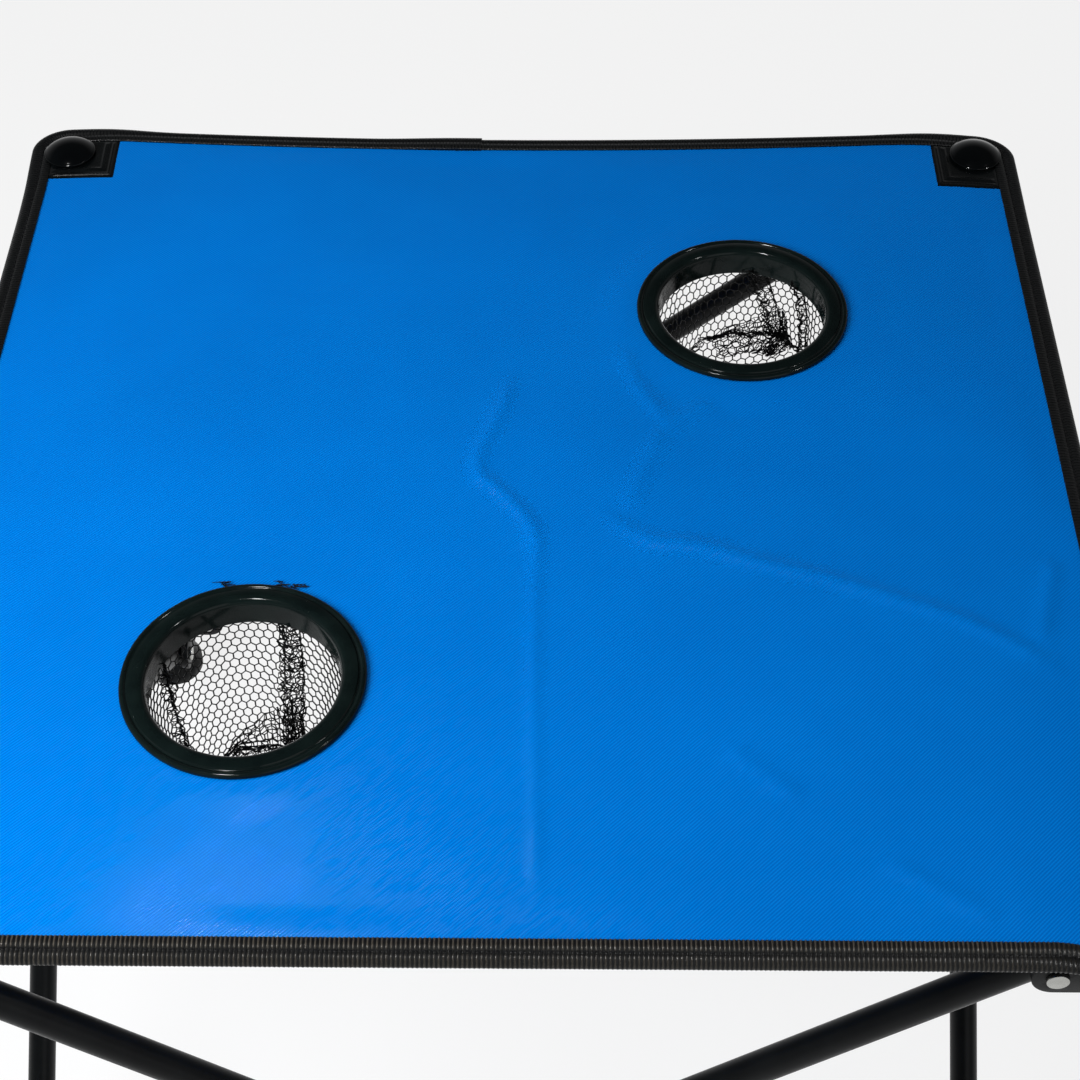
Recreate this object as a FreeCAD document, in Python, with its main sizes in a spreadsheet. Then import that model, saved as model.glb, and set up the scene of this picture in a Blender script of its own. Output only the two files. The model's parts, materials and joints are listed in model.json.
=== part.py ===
import FreeCAD, Part
import Sketcher
import math
import os
import re

# Folding camp table: a square cloth top on a frame of eight crossed tubes.
# Frame of the part: millimetres, +Z up, origin on the floor under the middle of the table.
# The front is -Y. Every corner and every side repeats by quarter turns about Z.

# Driving sizes: alias, value, meaning
SIZES = [
    ("table_side", 526, "cloth top over its binding, square"),
    ("table_height", 430, "floor to the upper face of the cloth"),
    ("corner_inset", 21, "corner axis from the two outer edges"),
    ("corner_radius", 28, "outer corner of the binding"),
    ("cloth_thick", 1.0, "coated woven cloth"),
    ("quarter_gap", 0.4, "between two quarters of the cloth"),
    ("soft_gap", 0.2, "between a soft piece and what it lies on"),
    ("binding_width", 11, "binding tape on either face of the cloth"),
    ("binding_thick", 0.9, "binding tape"),
    ("patch_reach", 46, "inner edge of a corner patch from the outer edge"),
    ("patch_thick", 1.2, "corner patch"),
    ("screw_hole", 6.4, "hole for the corner screw in cloth and patch"),
    ("cap_diameter", 27, "domed cap"),
    ("cap_height", 5.4, "domed cap"),
    ("cap_rim", 1, "upright rim of the cap under its dome"),
    ("screw_diameter", 5, "corner screw"),
    ("screw_length", 17, "corner screw under its head"),
    ("screw_head_diameter", 10, "corner screw"),
    ("screw_head_height", 2.2, "corner screw"),
    ("head_room", 0.4, "cap to screw head"),
    ("pin_gap", 0.05, "round a rivet or screw in its hole"),
    ("tube_diameter", 14, "frame tube"),
    ("tube_wall", 1.0, "frame tube"),
    ("tube_tail", 9, "tube past its end rivet"),
    ("cross_gap", 1.2, "between the two tubes of a side where they cross"),
    ("pivot_reach", 28, "end rivet from the corner axis, along the side"),
    ("foot_pivot_height", 45, "lower rivets above the floor"),
    ("swing_gap", 2, "swinging end of a tube to the column or plate beside it"),
    ("prong_thick", 4, "prong of a fork"),
    ("prong_gap", 0.4, "tube to prong"),
    ("fork_radius", 10, "rounded end of a fork"),
    ("column_diameter", 30, "column that carries both forks"),
    ("foot_diameter", 38, "sole of a foot"),
    ("foot_thick", 7, "sole of a foot"),
    ("foot_taper", 8, "cone from the sole to the column"),
    ("plate_diameter", 34, "plate of a top bracket"),
    ("plate_thick", 6, "plate of a top bracket"),
    ("seat_gap", 0.6, "raised seat of a top bracket to the binding round it"),
    ("rivet_diameter", 5, "every rivet"),
    ("rivet_head_diameter", 9, "every rivet"),
    ("rivet_head_thick", 1.8, "every rivet"),
    ("spacer_diameter", 12, "spacer between crossing tubes"),
    ("spacer_gap", 0.1, "spacer to the tube that turns on it"),
    ("cup_x", 111, "cup holder from the middle of the table"),
    ("cup_y", 118, "cup holder from the middle of the table"),
    ("ring_diameter", 104, "cup-holder ring"),
    ("ring_bore", 82, "cup-holder ring"),
    ("ring_thick", 3.4, "flange of the ring at its crown"),
    ("ring_rim", 1.8, "flange of the ring at its outer rim"),
    ("groove_width", 2, "groove round the flange"),
    ("groove_depth", 0.7, "groove round the flange"),
    ("groove_inset", 3.5, "groove from the outer rim"),
    ("collar_wall", 2, "collar of the ring, through the cloth"),
    ("collar_depth", 11, "collar below the face of the cloth"),
    ("collar_gap", 0.3, "collar to cloth, clamp ring and bag"),
    ("clamp_diameter", 102, "clamp ring under the cloth"),
    ("clamp_thick", 3, "clamp ring under the cloth"),
    ("bag_wall", 1.2, "net bag"),
    ("bag_depth", 92, "net bag below the clamp ring"),
    ("bag_foot_diameter", 76, "bottom of the net bag"),
]

CORNERS = ["front_left", "front_right", "rear_right", "rear_left"]
SIDES = ["front", "right", "rear", "left"]
CUP_CORNERS = {"front_left": "left", "rear_right": "right"}
UP = FreeCAD.Vector(0, 0, 1)

doc = FreeCAD.newDocument("camp_table")
sheet = doc.addObject("Spreadsheet::Sheet", "dims")
for row, (alias, number, meaning) in enumerate(SIZES, start=1):
    sheet.set(f"A{row}", alias)
    sheet.set(f"B{row}", str(number))
    sheet.setAlias(f"B{row}", alias)
    sheet.set(f"C{row}", meaning)
doc.recompute()

ALIASES = {alias for alias, _, _ in SIZES}
nodes = {}


# Working with the sheet

def bind(text):
    """Point every size named in an expression at its cell."""
    return re.sub(r"[a-z_]+", lambda word: "dims." * (word[0] in ALIASES) + word[0], text)


def measure(text):
    """Work an expression of sizes out as a number."""
    return float(sheet.evalExpression(bind(text)))


def tie(item, **properties):
    """Bind properties of an object to expressions of sizes."""
    for name, text in properties.items():
        item.setExpression(name, bind(text))


def tie_place(item, place):
    """Bind an object's position to three expressions of sizes."""
    for letter, text in zip("xyz", place):
        item.setExpression(f"Placement.Base.{letter}", bind(text))


# Primitives and booleans

def box(low, high):
    """A block between two corners, each given as three expressions."""
    item = doc.addObject("Part::Box", "block")
    spans = [f"({upper}) - ({lower})" for lower, upper in zip(low, high)]
    tie(item, Length=spans[0], Width=spans[1], Height=spans[2])
    tie_place(item, low)
    return item


TURNS = {
    "x": FreeCAD.Rotation(FreeCAD.Vector(0, 1, 0), 90),
    "y": FreeCAD.Rotation(FreeCAD.Vector(1, 0, 0), -90),
    "z": FreeCAD.Rotation(),
}


def rod(diameter, length, start, axis="z"):
    """A round bar along an axis from a start point."""
    item = doc.addObject("Part::Cylinder", "bar")
    item.Placement = FreeCAD.Placement(FreeCAD.Vector(), TURNS[axis])
    tie(item, Radius=f"({diameter}) / 2", Height=length)
    tie_place(item, start)
    return item


def cone(low_diameter, high_diameter, height, start):
    """A tapered round bar upright from a start point."""
    item = doc.addObject("Part::Cone", "taper")
    tie(item, Radius1=f"({low_diameter}) / 2", Radius2=f"({high_diameter}) / 2", Height=height)
    tie_place(item, start)
    return item


def fuse(items):
    """Several solids made one."""
    item = doc.addObject("Part::MultiFuse", "joined")
    item.Shapes = items
    item.Refine = True
    return item


def cut(base, tools):
    """One solid less the tools."""
    item = doc.addObject("Part::Cut", "trimmed")
    item.Base = base
    item.Tool = tools[0] if len(tools) == 1 else fuse(tools)
    return item


def group(items):
    """Separate solids that share one node."""
    item = doc.addObject("Part::Compound", "set")
    item.Links = items
    return item


# Sketches and bodies

def new_body(name):
    """A body for one piece."""
    return doc.addObject("PartDesign::Body", f"body_{name}")


def new_sketch(body, role, height="0"):
    """A sketch on one of a body's own planes, moved along that plane's normal."""
    sketch = body.newObject("Sketcher::SketchObject", "sketch")
    plane = next(item for item in body.Origin.OriginFeatures if item.Role == role)
    sketch.AttachmentSupport = [(plane, "")]
    sketch.MapMode = "FlatFace"
    sketch.setExpression("AttachmentOffset.Base.z", bind(height))
    return sketch


def pin_point(sketch, edge, end, x_text, y_text):
    """Hold the end of an edge at two expressions of sizes."""
    for kind, text, axis in (("DistanceX", x_text, -2), ("DistanceY", y_text, -1)):
        if text == "0":
            sketch.addConstraint(Sketcher.Constraint("PointOnObject", edge, end, axis))
        else:
            number = sketch.addConstraint(Sketcher.Constraint(kind, edge, end, measure(text)))
            sketch.setExpression(f"Constraints[{number}]", bind(text))


def outline(sketch, points, bends=None):
    """A closed outline through points, with arcs in place of some of its edges.

    A bend is keyed by the number of the edge and holds the arc's radius and whether it turns left.
    """
    bends = bends or {}
    places = [FreeCAD.Vector(measure(x), measure(y), 0) for x, y in points]
    count = len(points)
    for edge in range(count):
        start, end = places[edge], places[(edge + 1) % count]
        if edge in bends:
            radius, left = bends[edge]
            sketch.addGeometry(bend_arc(start, end, measure(radius), left), False)
        else:
            sketch.addGeometry(Part.LineSegment(start, end), False)
    reversed_edges = {edge for edge, (_, left) in bends.items() if not left}
    for edge in range(count):
        following = (edge + 1) % count
        last = 1 if edge in reversed_edges else 2
        first = 2 if following in reversed_edges else 1
        sketch.addConstraint(Sketcher.Constraint("Coincident", edge, last, following, first))
    for edge, (x_text, y_text) in enumerate(points):
        pin_point(sketch, edge, 2 if edge in reversed_edges else 1, x_text, y_text)
    for edge, (radius, _) in bends.items():
        number = sketch.addConstraint(Sketcher.Constraint("Radius", edge, measure(radius)))
        sketch.setExpression(f"Constraints[{number}]", bind(radius))


def bend_arc(start, end, radius, left):
    """The shorter arc of a radius from start to end, turning left or right."""
    chord = end - start
    across = FreeCAD.Vector(-chord.y, chord.x, 0).normalize()
    sag = math.sqrt(max(radius ** 2 - chord.Length ** 2 / 4, 0))
    centre = (start + end) * 0.5 + across * (sag if left else -sag)
    angles = [math.atan2(p.y - centre.y, p.x - centre.x) for p in (start, end)]
    if not left:
        angles.reverse()
    return Part.ArcOfCircle(Part.Circle(centre, UP, radius), angles[0], angles[1])


def hole(sketch, diameter, x_text, y_text):
    """A circle at two expressions of sizes."""
    centre = FreeCAD.Vector(measure(x_text), measure(y_text), 0)
    edge = sketch.addGeometry(Part.Circle(centre, UP, measure(diameter) / 2), False)
    pin_point(sketch, edge, 3, x_text, y_text)
    number = sketch.addConstraint(Sketcher.Constraint("Diameter", edge, measure(diameter)))
    sketch.setExpression(f"Constraints[{number}]", bind(diameter))


def pad(body, sketch, length):
    """Raise a sketch along its plane's normal."""
    feature = body.newObject("PartDesign::Pad", "pad")
    feature.Profile = sketch
    feature.setExpression("Length", bind(length))
    sketch.Visibility = False
    return feature


def pocket(body, sketch, length):
    """Sink a sketch against its plane's normal."""
    feature = body.newObject("PartDesign::Pocket", "pocket")
    feature.Profile = sketch
    feature.setExpression("Length", bind(length))
    return feature


def turned(name, points, bends=None):
    """A body turned about Z from half its section."""
    body = new_body(name)
    sketch = new_sketch(body, "XZ_Plane")
    outline(sketch, points, bends)
    feature = body.newObject("PartDesign::Revolution", "turn")
    feature.Profile = sketch
    feature.ReferenceAxis = (sketch, ["V_Axis"])
    feature.Angle = 360
    return body


# Places

REACH = "(table_side / 2 - corner_inset)"
CLOTH_UNDER = "(table_height - cloth_thick)"
PATCH_LOW = "(table_height + soft_gap)"
PATCH_TOP = "(table_height + soft_gap + patch_thick)"
CAP_LOW = "(table_height + max(patch_thick; binding_thick) + 2 * soft_gap)"
BINDING_LOW = "(table_height - cloth_thick - soft_gap - binding_thick)"
BINDING_TOP = "(table_height + soft_gap + binding_thick)"
PLATE_TOP = f"({BINDING_LOW} - soft_gap)"
PLATE_LOW = f"({PLATE_TOP} - plate_thick)"
SWING = "(sqrt(tube_tail ^ 2 + tube_diameter ^ 2 / 4) + swing_gap)"
TOP_PIVOT = f"({PLATE_LOW} - {SWING})"
FORK_ROOT = f"(pivot_reach - {SWING})"
TUBE_LANE = "((tube_diameter + cross_gap) / 2)"
PIVOT_SPAN = f"(2 * ({REACH} - pivot_reach))"
PIVOT_RISE = f"({TOP_PIVOT} - foot_pivot_height)"
TUBE_SPAN = f"sqrt({PIVOT_SPAN} ^ 2 + {PIVOT_RISE} ^ 2)"
RIVET_HOLE = "(rivet_diameter + 2 * pin_gap)"
PRONG_IN = "(tube_diameter / 2 + prong_gap)"
PRONG_OUT = "(tube_diameter / 2 + prong_gap + prong_thick)"
# The seat fits the binding's window at its straight edges and at its rounded corner.
STRAIGHT_ROOM = "(corner_inset - binding_width)"
CORNER_ROOM = "(corner_radius - binding_width - sqrt(2) * (corner_radius - corner_inset))"
SEAT_DIAMETER = f"(2 * (min({STRAIGHT_ROOM}; {CORNER_ROOM}) - seat_gap))"
COLLAR_DIAMETER = "(ring_bore + 2 * collar_wall)"
COLLAR_LOW = "(table_height - collar_depth)"
HOLE_DIAMETER = "(ring_bore + 2 * collar_wall + 2 * collar_gap)"
CLAMP_TOP = f"({CLOTH_UNDER} - soft_gap)"
BAG_TOP = f"({CLAMP_TOP} - clamp_thick - soft_gap)"


def corner_spot(height="0"):
    """A point on the front left corner's axis, at a height."""
    return (f"-{REACH}", f"-{REACH}", height)


def cup_spot(height):
    """A point on the front left cup holder's axis, at a height."""
    return ("-cup_x", "-cup_y", height)


def keep(name, item, number, spot=("0", "0", "0"), tilt="0 deg"):
    """Name a finished piece and bind its place.

    The piece leans about Y by its tilt and goes to its spot at the front left or the front. Quarter turns
    about Z then take it to its own corner or side.
    """
    turn = f"placement(vector(0; 0; 0); rotation(vector(0; 0; 1); {90 * number}))"
    seat = f"placement(vector({'; '.join(spot)}); rotation(vector(0; 1; 0); {tilt}))"
    item.Label = name
    item.setExpression("Placement", bind(f"{turn} * {seat}"))
    nodes[name] = item


# Forks, feet and top brackets

def along_side(axis, reach, side, level):
    """Three expressions from a reach along a tube's axis, a place across it and a level."""
    return (reach, side, level) if axis == "x" else (side, reach, level)


def fork_lanes(lanes):
    """Axis of each fork's tube, axis across it and the middle of the tube's lane.

    The tube of the first fork runs along X and that of the second along Y. Each lane says on which side
    of its middle plane the tube lies.
    """
    return [(*axes, f"({lane} * {TUBE_LANE})") for axes, lane in zip((("x", "y"), ("y", "x")), lanes)]


def forks(height, lanes):
    """Both fork bars of a corner, and the slots and holes to cut in them."""
    bars, cuts = [], []
    low, high = f"({height} - fork_radius)", f"({height} + fork_radius)"
    for axis, across, middle in fork_lanes(lanes):
        near, far = f"{middle} - {PRONG_OUT}", f"{middle} + {PRONG_OUT}"
        bars.append(box(along_side(axis, "0", near, low), along_side(axis, "pivot_reach", far, high)))
        nose = along_side(axis, "pivot_reach", near, height)
        bars.append(rod("2 * fork_radius", f"2 * {PRONG_OUT}", nose, across))
        slot_low = along_side(axis, FORK_ROOT, f"{middle} - {PRONG_IN}", f"{low} - swing_gap")
        slot_end = "pivot_reach + 2 * fork_radius"
        slot_high = along_side(axis, slot_end, f"{middle} + {PRONG_IN}", f"{high} + swing_gap")
        cuts.append(box(slot_low, slot_high))
        bore = along_side(axis, "pivot_reach", f"{near} - prong_thick", height)
        cuts.append(rod(RIVET_HOLE, f"2 * ({PRONG_OUT} + prong_thick)", bore, across))
    return bars, cuts


def end_rivets(height, lanes):
    """The two rivets that join the tubes to a corner's forks."""
    rivets = []
    for axis, across, middle in fork_lanes(lanes):
        near, far = f"({middle} - {PRONG_OUT})", f"({middle} + {PRONG_OUT})"
        runs = [
            ("rivet_head_diameter", "rivet_head_thick", f"{near} - rivet_head_thick"),
            ("rivet_diameter", f"2 * {PRONG_OUT}", near),
            ("rivet_head_diameter", "rivet_head_thick", far),
        ]
        bars = []
        for diameter, length, start in runs:
            bars.append(rod(diameter, length, along_side(axis, "pivot_reach", start, height), across))
        rivets.append(fuse(bars))
    return group(rivets)


def make_foot(number, corner):
    """A moulded foot: round sole, column and two forks, the left side's tube in the outer lane."""
    lanes = (1, -1)
    bars, cuts = forks("foot_pivot_height", lanes)
    sole = rod("foot_diameter", "foot_thick", ("0", "0", "0"))
    on_sole = ("0", "0", "foot_thick")
    taper = cone("foot_diameter", "column_diameter", "foot_taper", on_sole)
    column = rod("column_diameter", "foot_pivot_height + fork_radius - foot_thick", on_sole)
    keep(f"foot_{corner}", cut(fuse([sole, taper, column] + bars), cuts), number, corner_spot())
    keep(f"foot_rivets_{corner}", end_rivets("foot_pivot_height", lanes), number, corner_spot())


def make_top_bracket(number, corner):
    """A moulded bracket under the cloth: plate, screw seat, column and two forks, the front tube outside."""
    lanes = (-1, 1)
    bars, cuts = forks(TOP_PIVOT, lanes)
    plate = rod("plate_diameter", "plate_thick", ("0", "0", PLATE_LOW))
    seat = rod(SEAT_DIAMETER, f"{CLOTH_UNDER} - soft_gap - {PLATE_TOP}", ("0", "0", PLATE_TOP))
    column_low = f"({TOP_PIVOT} - fork_radius)"
    column = rod("column_diameter", f"{PLATE_LOW} - {column_low}", ("0", "0", column_low))
    tip = f"({PATCH_TOP} - screw_length - screw_diameter)"
    cuts.append(rod("screw_diameter + 2 * pin_gap", f"table_height - {tip}", ("0", "0", tip)))
    bracket = cut(fuse([plate, seat, column] + bars), cuts)
    keep(f"top_bracket_{corner}", bracket, number, corner_spot())
    keep(f"top_rivets_{corner}", end_rivets(TOP_PIVOT, lanes), number, corner_spot())


# Crossed tubes of a side

def make_tube():
    """A tube upright on its lower rivet, with its three rivet holes along Y."""
    skin = rod("tube_diameter", f"{TUBE_SPAN} + 2 * tube_tail", ("0", "0", "-tube_tail"))
    bore = "tube_diameter - 2 * tube_wall"
    tools = [rod(bore, f"{TUBE_SPAN} + 4 * tube_tail", ("0", "0", "-2 * tube_tail"))]
    for height in ("0", f"{TUBE_SPAN} / 2", TUBE_SPAN):
        tools.append(rod(RIVET_HOLE, "2 * tube_diameter", ("0", "-tube_diameter", height), "y"))
    return cut(skin, tools)


def make_cross_rivet(middle):
    """The rivet through both tubes of a side, from the outer tube's axis: +Y points at the inner tube."""
    near = "-tube_diameter / 2"
    far = f"(2 * {TUBE_LANE} + tube_diameter / 2)"
    shank = rod("rivet_diameter", f"{far} - ({near})", ("0", near, middle), "y")
    head = rod("rivet_head_diameter", "rivet_head_thick", ("0", f"{near} - rivet_head_thick", middle), "y")
    tail = rod("rivet_head_diameter", "rivet_head_thick", ("0", far, middle), "y")
    return fuse([shank, head, tail])


def make_cross_spacer(middle):
    """The spacer between both tubes of a side: saddled on the outer tube, flat towards the inner one."""
    face = f"(2 * {TUBE_LANE} - tube_diameter / 2 - spacer_gap)"
    blank = rod("spacer_diameter", face, ("0", "0", middle), "y")
    saddle_low = f"{middle} - spacer_diameter"
    saddle = rod("tube_diameter + 2 * pin_gap", "2 * spacer_diameter", ("0", "0", saddle_low))
    bore = rod(RIVET_HOLE, f"2 * {face}", ("0", "0", middle), "y")
    return cut(blank, [saddle, bore])


def make_side(number, side):
    """The outer and inner tube of a side, the rivet where they cross and the spacer between them."""
    lean = f"(90 deg - atan({PIVOT_RISE} / {PIVOT_SPAN}))"
    half = f"{PIVOT_SPAN} / 2"
    outer = (half, f"-{REACH} - {TUBE_LANE}", "foot_pivot_height")
    inner = (f"-{half}", f"-{REACH} + {TUBE_LANE}", "foot_pivot_height")
    middle = f"{TUBE_SPAN} / 2"
    keep(f"tube_{side}_outer", make_tube(), number, outer, f"-{lean}")
    keep(f"tube_{side}_inner", make_tube(), number, inner, lean)
    keep(f"cross_rivet_{side}", make_cross_rivet(middle), number, outer, f"-{lean}")
    keep(f"cross_spacer_{side}", make_cross_spacer(middle), number, outer, f"-{lean}")


# Cloth top

def corner_square(inset, inner, radius):
    """Outline of the front left quarter of a rounded square: its points and the arc at its corner."""
    edge = f"-(table_side / 2 - ({inset}))"
    start = f"{edge} + ({radius})"
    points = [(inner, inner), (edge, inner), (edge, start), (start, edge), (inner, edge)]
    return points, {2: (radius, True)}


def make_cloth(number, corner):
    """One quarter of the cloth top, with the screw hole and any cup-holder hole."""
    body = new_body(f"cloth_{corner}")
    sketch = new_sketch(body, "XY_Plane", CLOTH_UNDER)
    inset = "binding_thick + soft_gap"
    outline(sketch, *corner_square(inset, "-quarter_gap / 2", f"corner_radius - ({inset})"))
    hole(sketch, "screw_hole", f"-{REACH}", f"-{REACH}")
    if corner in CUP_CORNERS:
        hole(sketch, HOLE_DIAMETER, "-cup_x", "-cup_y")
    pad(body, sketch, "cloth_thick")
    keep(f"cloth_{corner}", body, number)


def make_binding(number, corner):
    """The folded tape round one quarter's outer edges: two leaves joined at the rim."""
    body = new_body(f"binding_{corner}")
    depth = f"{BINDING_TOP} - {BINDING_LOW}"
    whole = new_sketch(body, "XY_Plane", BINDING_LOW)
    outline(whole, *corner_square("0", "-quarter_gap / 2", "corner_radius"))
    pad(body, whole, depth)
    window = new_sketch(body, "XY_Plane", BINDING_TOP)
    outline(window, *corner_square("binding_width", "quarter_gap", "corner_radius - binding_width"))
    pocket(body, window, depth)
    slot = new_sketch(body, "XY_Plane", PATCH_LOW)
    outline(slot, *corner_square("binding_thick", "quarter_gap", "corner_radius - binding_thick"))
    pocket(body, slot, "cloth_thick + 2 * soft_gap")
    keep(f"binding_{corner}", body, number)


# Corner patch, screw and cap

def make_patch(number, corner):
    """A square patch on the cloth inside the binding, with the screw hole."""
    body = new_body(f"corner_patch_{corner}")
    sketch = new_sketch(body, "XY_Plane", PATCH_LOW)
    inset = "binding_width + soft_gap"
    inner = "-(table_side / 2 - patch_reach)"
    outline(sketch, *corner_square(inset, inner, f"corner_radius - ({inset})"))
    hole(sketch, "screw_hole", f"-{REACH}", f"-{REACH}")
    pad(body, sketch, "patch_thick")
    keep(f"corner_patch_{corner}", body, number)


def make_screw(number, corner):
    """The screw that holds the cloth's corner down on its bracket."""
    shank, head = "screw_diameter / 2", "screw_head_diameter / 2"
    top = "screw_length + screw_head_height"
    points = [
        ("0", "0"), (shank, "0"), (shank, "screw_length"),
        (head, "screw_length"), (head, top), ("0", top),
    ]
    spot = corner_spot(f"{PATCH_TOP} + pin_gap - screw_length")
    keep(f"corner_screw_{corner}", turned(f"corner_screw_{corner}", points), number, spot)


def make_cap(number, corner):
    """The domed cap over the screw head, hollow underneath."""
    rim, crown = "cap_diameter / 2", "(cap_height - cap_rim)"
    hollow, ceiling = "screw_head_diameter / 2 + head_room", "screw_head_height + head_room"
    points = [
        (hollow, "0"), (rim, "0"), (rim, "cap_rim"),
        ("0", "cap_height"), ("0", ceiling), (hollow, ceiling),
    ]
    dome = f"(({rim}) ^ 2 + {crown} ^ 2) / (2 * {crown})"
    body = turned(f"corner_cap_{corner}", points, {2: (dome, True)})
    keep(f"corner_cap_{corner}", body, number, corner_spot(CAP_LOW))


# Cup holder

def make_cup_ring(number, side):
    """The ring on the cloth: grooved flange, rounded rims and a collar down through the cloth."""
    bore, collar, rim = "ring_bore / 2", f"{COLLAR_DIAMETER} / 2", "ring_diameter / 2"
    seat = "(collar_depth + soft_gap)"
    shoulder, crown = f"{seat} + ring_rim", f"{seat} + ring_thick"
    bend = "(ring_thick - ring_rim)"
    floor = f"{crown} - groove_depth"
    outer, inner = f"{rim} - groove_inset", f"{rim} - groove_inset - groove_width"
    points = [
        (bore, "0"), (collar, "0"), (collar, seat), (rim, seat), (rim, shoulder),
        (f"{rim} - {bend}", crown), (outer, crown), (outer, floor), (inner, floor), (inner, crown),
        (f"{bore} + {bend}", crown), (bore, shoulder),
    ]
    body = turned(f"cup_ring_{side}", points, {4: (bend, True), 10: (bend, True)})
    keep(f"cup_ring_{side}", body, number, cup_spot(COLLAR_LOW))


def make_clamp_ring(number, side):
    """The flat ring under the cloth that grips the collar."""
    inner, outer = f"{HOLE_DIAMETER} / 2", "clamp_diameter / 2"
    points = [(inner, "0"), (outer, "0"), (outer, "clamp_thick"), (inner, "clamp_thick")]
    body = turned(f"clamp_ring_{side}", points)
    keep(f"clamp_ring_{side}", body, number, cup_spot(f"{CLAMP_TOP} - clamp_thick"))


def make_net_bag(number, side):
    """The net bag as a thin cup, upright round the collar that carries it and tapered below."""
    mouth, foot = f"{HOLE_DIAMETER} / 2", "bag_foot_diameter / 2"
    neck = f"bag_depth - ({BAG_TOP} - {COLLAR_LOW} + soft_gap)"
    points = [
        ("0", "0"), (foot, "0"), (f"{mouth} + bag_wall", neck), (f"{mouth} + bag_wall", "bag_depth"),
        (mouth, "bag_depth"), (mouth, neck), (f"{foot} - bag_wall", "bag_wall"), ("0", "bag_wall"),
    ]
    body = turned(f"net_bag_{side}", points)
    keep(f"net_bag_{side}", body, number, cup_spot(f"{BAG_TOP} - bag_depth"))


# The whole table

for turn_number, (corner_name, side_name) in enumerate(zip(CORNERS, SIDES)):
    make_foot(turn_number, corner_name)
    make_side(turn_number, side_name)
    make_top_bracket(turn_number, corner_name)
    make_cloth(turn_number, corner_name)
    make_binding(turn_number, corner_name)
    make_patch(turn_number, corner_name)
    make_screw(turn_number, corner_name)
    make_cap(turn_number, corner_name)
    if corner_name in CUP_CORNERS:
        make_cup_ring(turn_number, CUP_CORNERS[corner_name])
        make_clamp_ring(turn_number, CUP_CORNERS[corner_name])
        make_net_bag(turn_number, CUP_CORNERS[corner_name])

doc.recompute()
for item in doc.Objects:
    if {"Invalid", "Error"} & set(item.State):
        raise RuntimeError(f"{item.Label} failed: {item.State}")
for name, item in nodes.items():
    if item.Shape.isNull() or not item.Shape.isValid():
        raise RuntimeError(f"{name} has no valid shape")

os.makedirs("parts", exist_ok=True)
for name, item in nodes.items():
    item.Shape.exportStep(f"parts/{name}.step")
    print(name, len(item.Shape.Solids), round(item.Shape.Volume, 1))
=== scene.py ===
"""Dressed model of a low folding camp table with a cloth top and two net cup holders.

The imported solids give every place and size. Each class below builds one sub-assembly around them.
"""

import json
import logging
import math
from contextlib import contextmanager
from dataclasses import dataclass, field
from enum import Enum
from functools import partial
from typing import Dict, Iterator, List, Optional, Sequence, Tuple

import bmesh
import bpy
import numpy as np
from mathutils import Matrix, Vector


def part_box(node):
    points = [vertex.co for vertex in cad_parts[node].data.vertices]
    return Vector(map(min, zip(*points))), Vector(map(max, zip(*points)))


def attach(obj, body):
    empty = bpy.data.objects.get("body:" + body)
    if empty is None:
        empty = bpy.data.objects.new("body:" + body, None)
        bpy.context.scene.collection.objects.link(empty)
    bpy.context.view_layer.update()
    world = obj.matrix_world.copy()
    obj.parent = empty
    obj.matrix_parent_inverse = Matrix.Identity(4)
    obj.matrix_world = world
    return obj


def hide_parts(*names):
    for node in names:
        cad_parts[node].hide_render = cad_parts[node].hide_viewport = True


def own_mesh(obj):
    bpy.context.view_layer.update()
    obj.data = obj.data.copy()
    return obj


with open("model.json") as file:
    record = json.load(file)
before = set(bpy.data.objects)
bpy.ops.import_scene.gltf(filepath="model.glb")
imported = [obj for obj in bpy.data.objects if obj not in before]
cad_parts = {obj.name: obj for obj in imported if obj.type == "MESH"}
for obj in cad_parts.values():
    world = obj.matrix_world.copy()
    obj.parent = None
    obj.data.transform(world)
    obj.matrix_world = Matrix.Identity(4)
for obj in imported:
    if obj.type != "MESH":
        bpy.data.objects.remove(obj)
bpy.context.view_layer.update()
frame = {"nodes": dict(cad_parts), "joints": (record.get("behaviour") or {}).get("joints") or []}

LOG = logging.getLogger("camp_table")
MM = 0.001

Point = Tuple[float, float]
Colour = Tuple[float, float, float, float]
Faces = List[Tuple[int, ...]]
Net = Tuple[np.ndarray, Faces]


class Corner(Enum):
    """A corner of the table, with the signs of its X and Y."""

    FRONT_LEFT = ("front_left", -1, -1)
    FRONT_RIGHT = ("front_right", 1, -1)
    REAR_RIGHT = ("rear_right", 1, 1)
    REAR_LEFT = ("rear_left", -1, 1)

    @property
    def label(self) -> str:
        """Name of the corner in the record."""
        return self.value[0]

    @property
    def signs(self) -> np.ndarray:
        """Signs of the corner's X and Y."""
        return np.array(self.value[1:], float)

    @property
    def top_body(self) -> str:
        """Body of the top bracket and the cloth sewn to it."""
        return f"{self.label}_top"

    @property
    def quarter_body(self) -> str:
        """Body of the cloth between this corner and the middle."""
        return f"{self.label}_quarter"

    @property
    def across(self) -> Tuple[float, float, float]:
        """Direction square to the corner's diagonal."""
        x, y = self.signs / math.sqrt(2.0)
        return (-y, x, 0.0)


class Side(Enum):
    """A side of the table, with its number of quarter turns from the front."""

    FRONT = ("front", 0)
    RIGHT = ("right", 1)
    REAR = ("rear", 2)
    LEFT = ("left", 3)


class Cup(Enum):
    """A cup holder, with the corner that its quarter of cloth belongs to."""

    LEFT = ("left", Corner.FRONT_LEFT)
    RIGHT = ("right", Corner.REAR_RIGHT)


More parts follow.
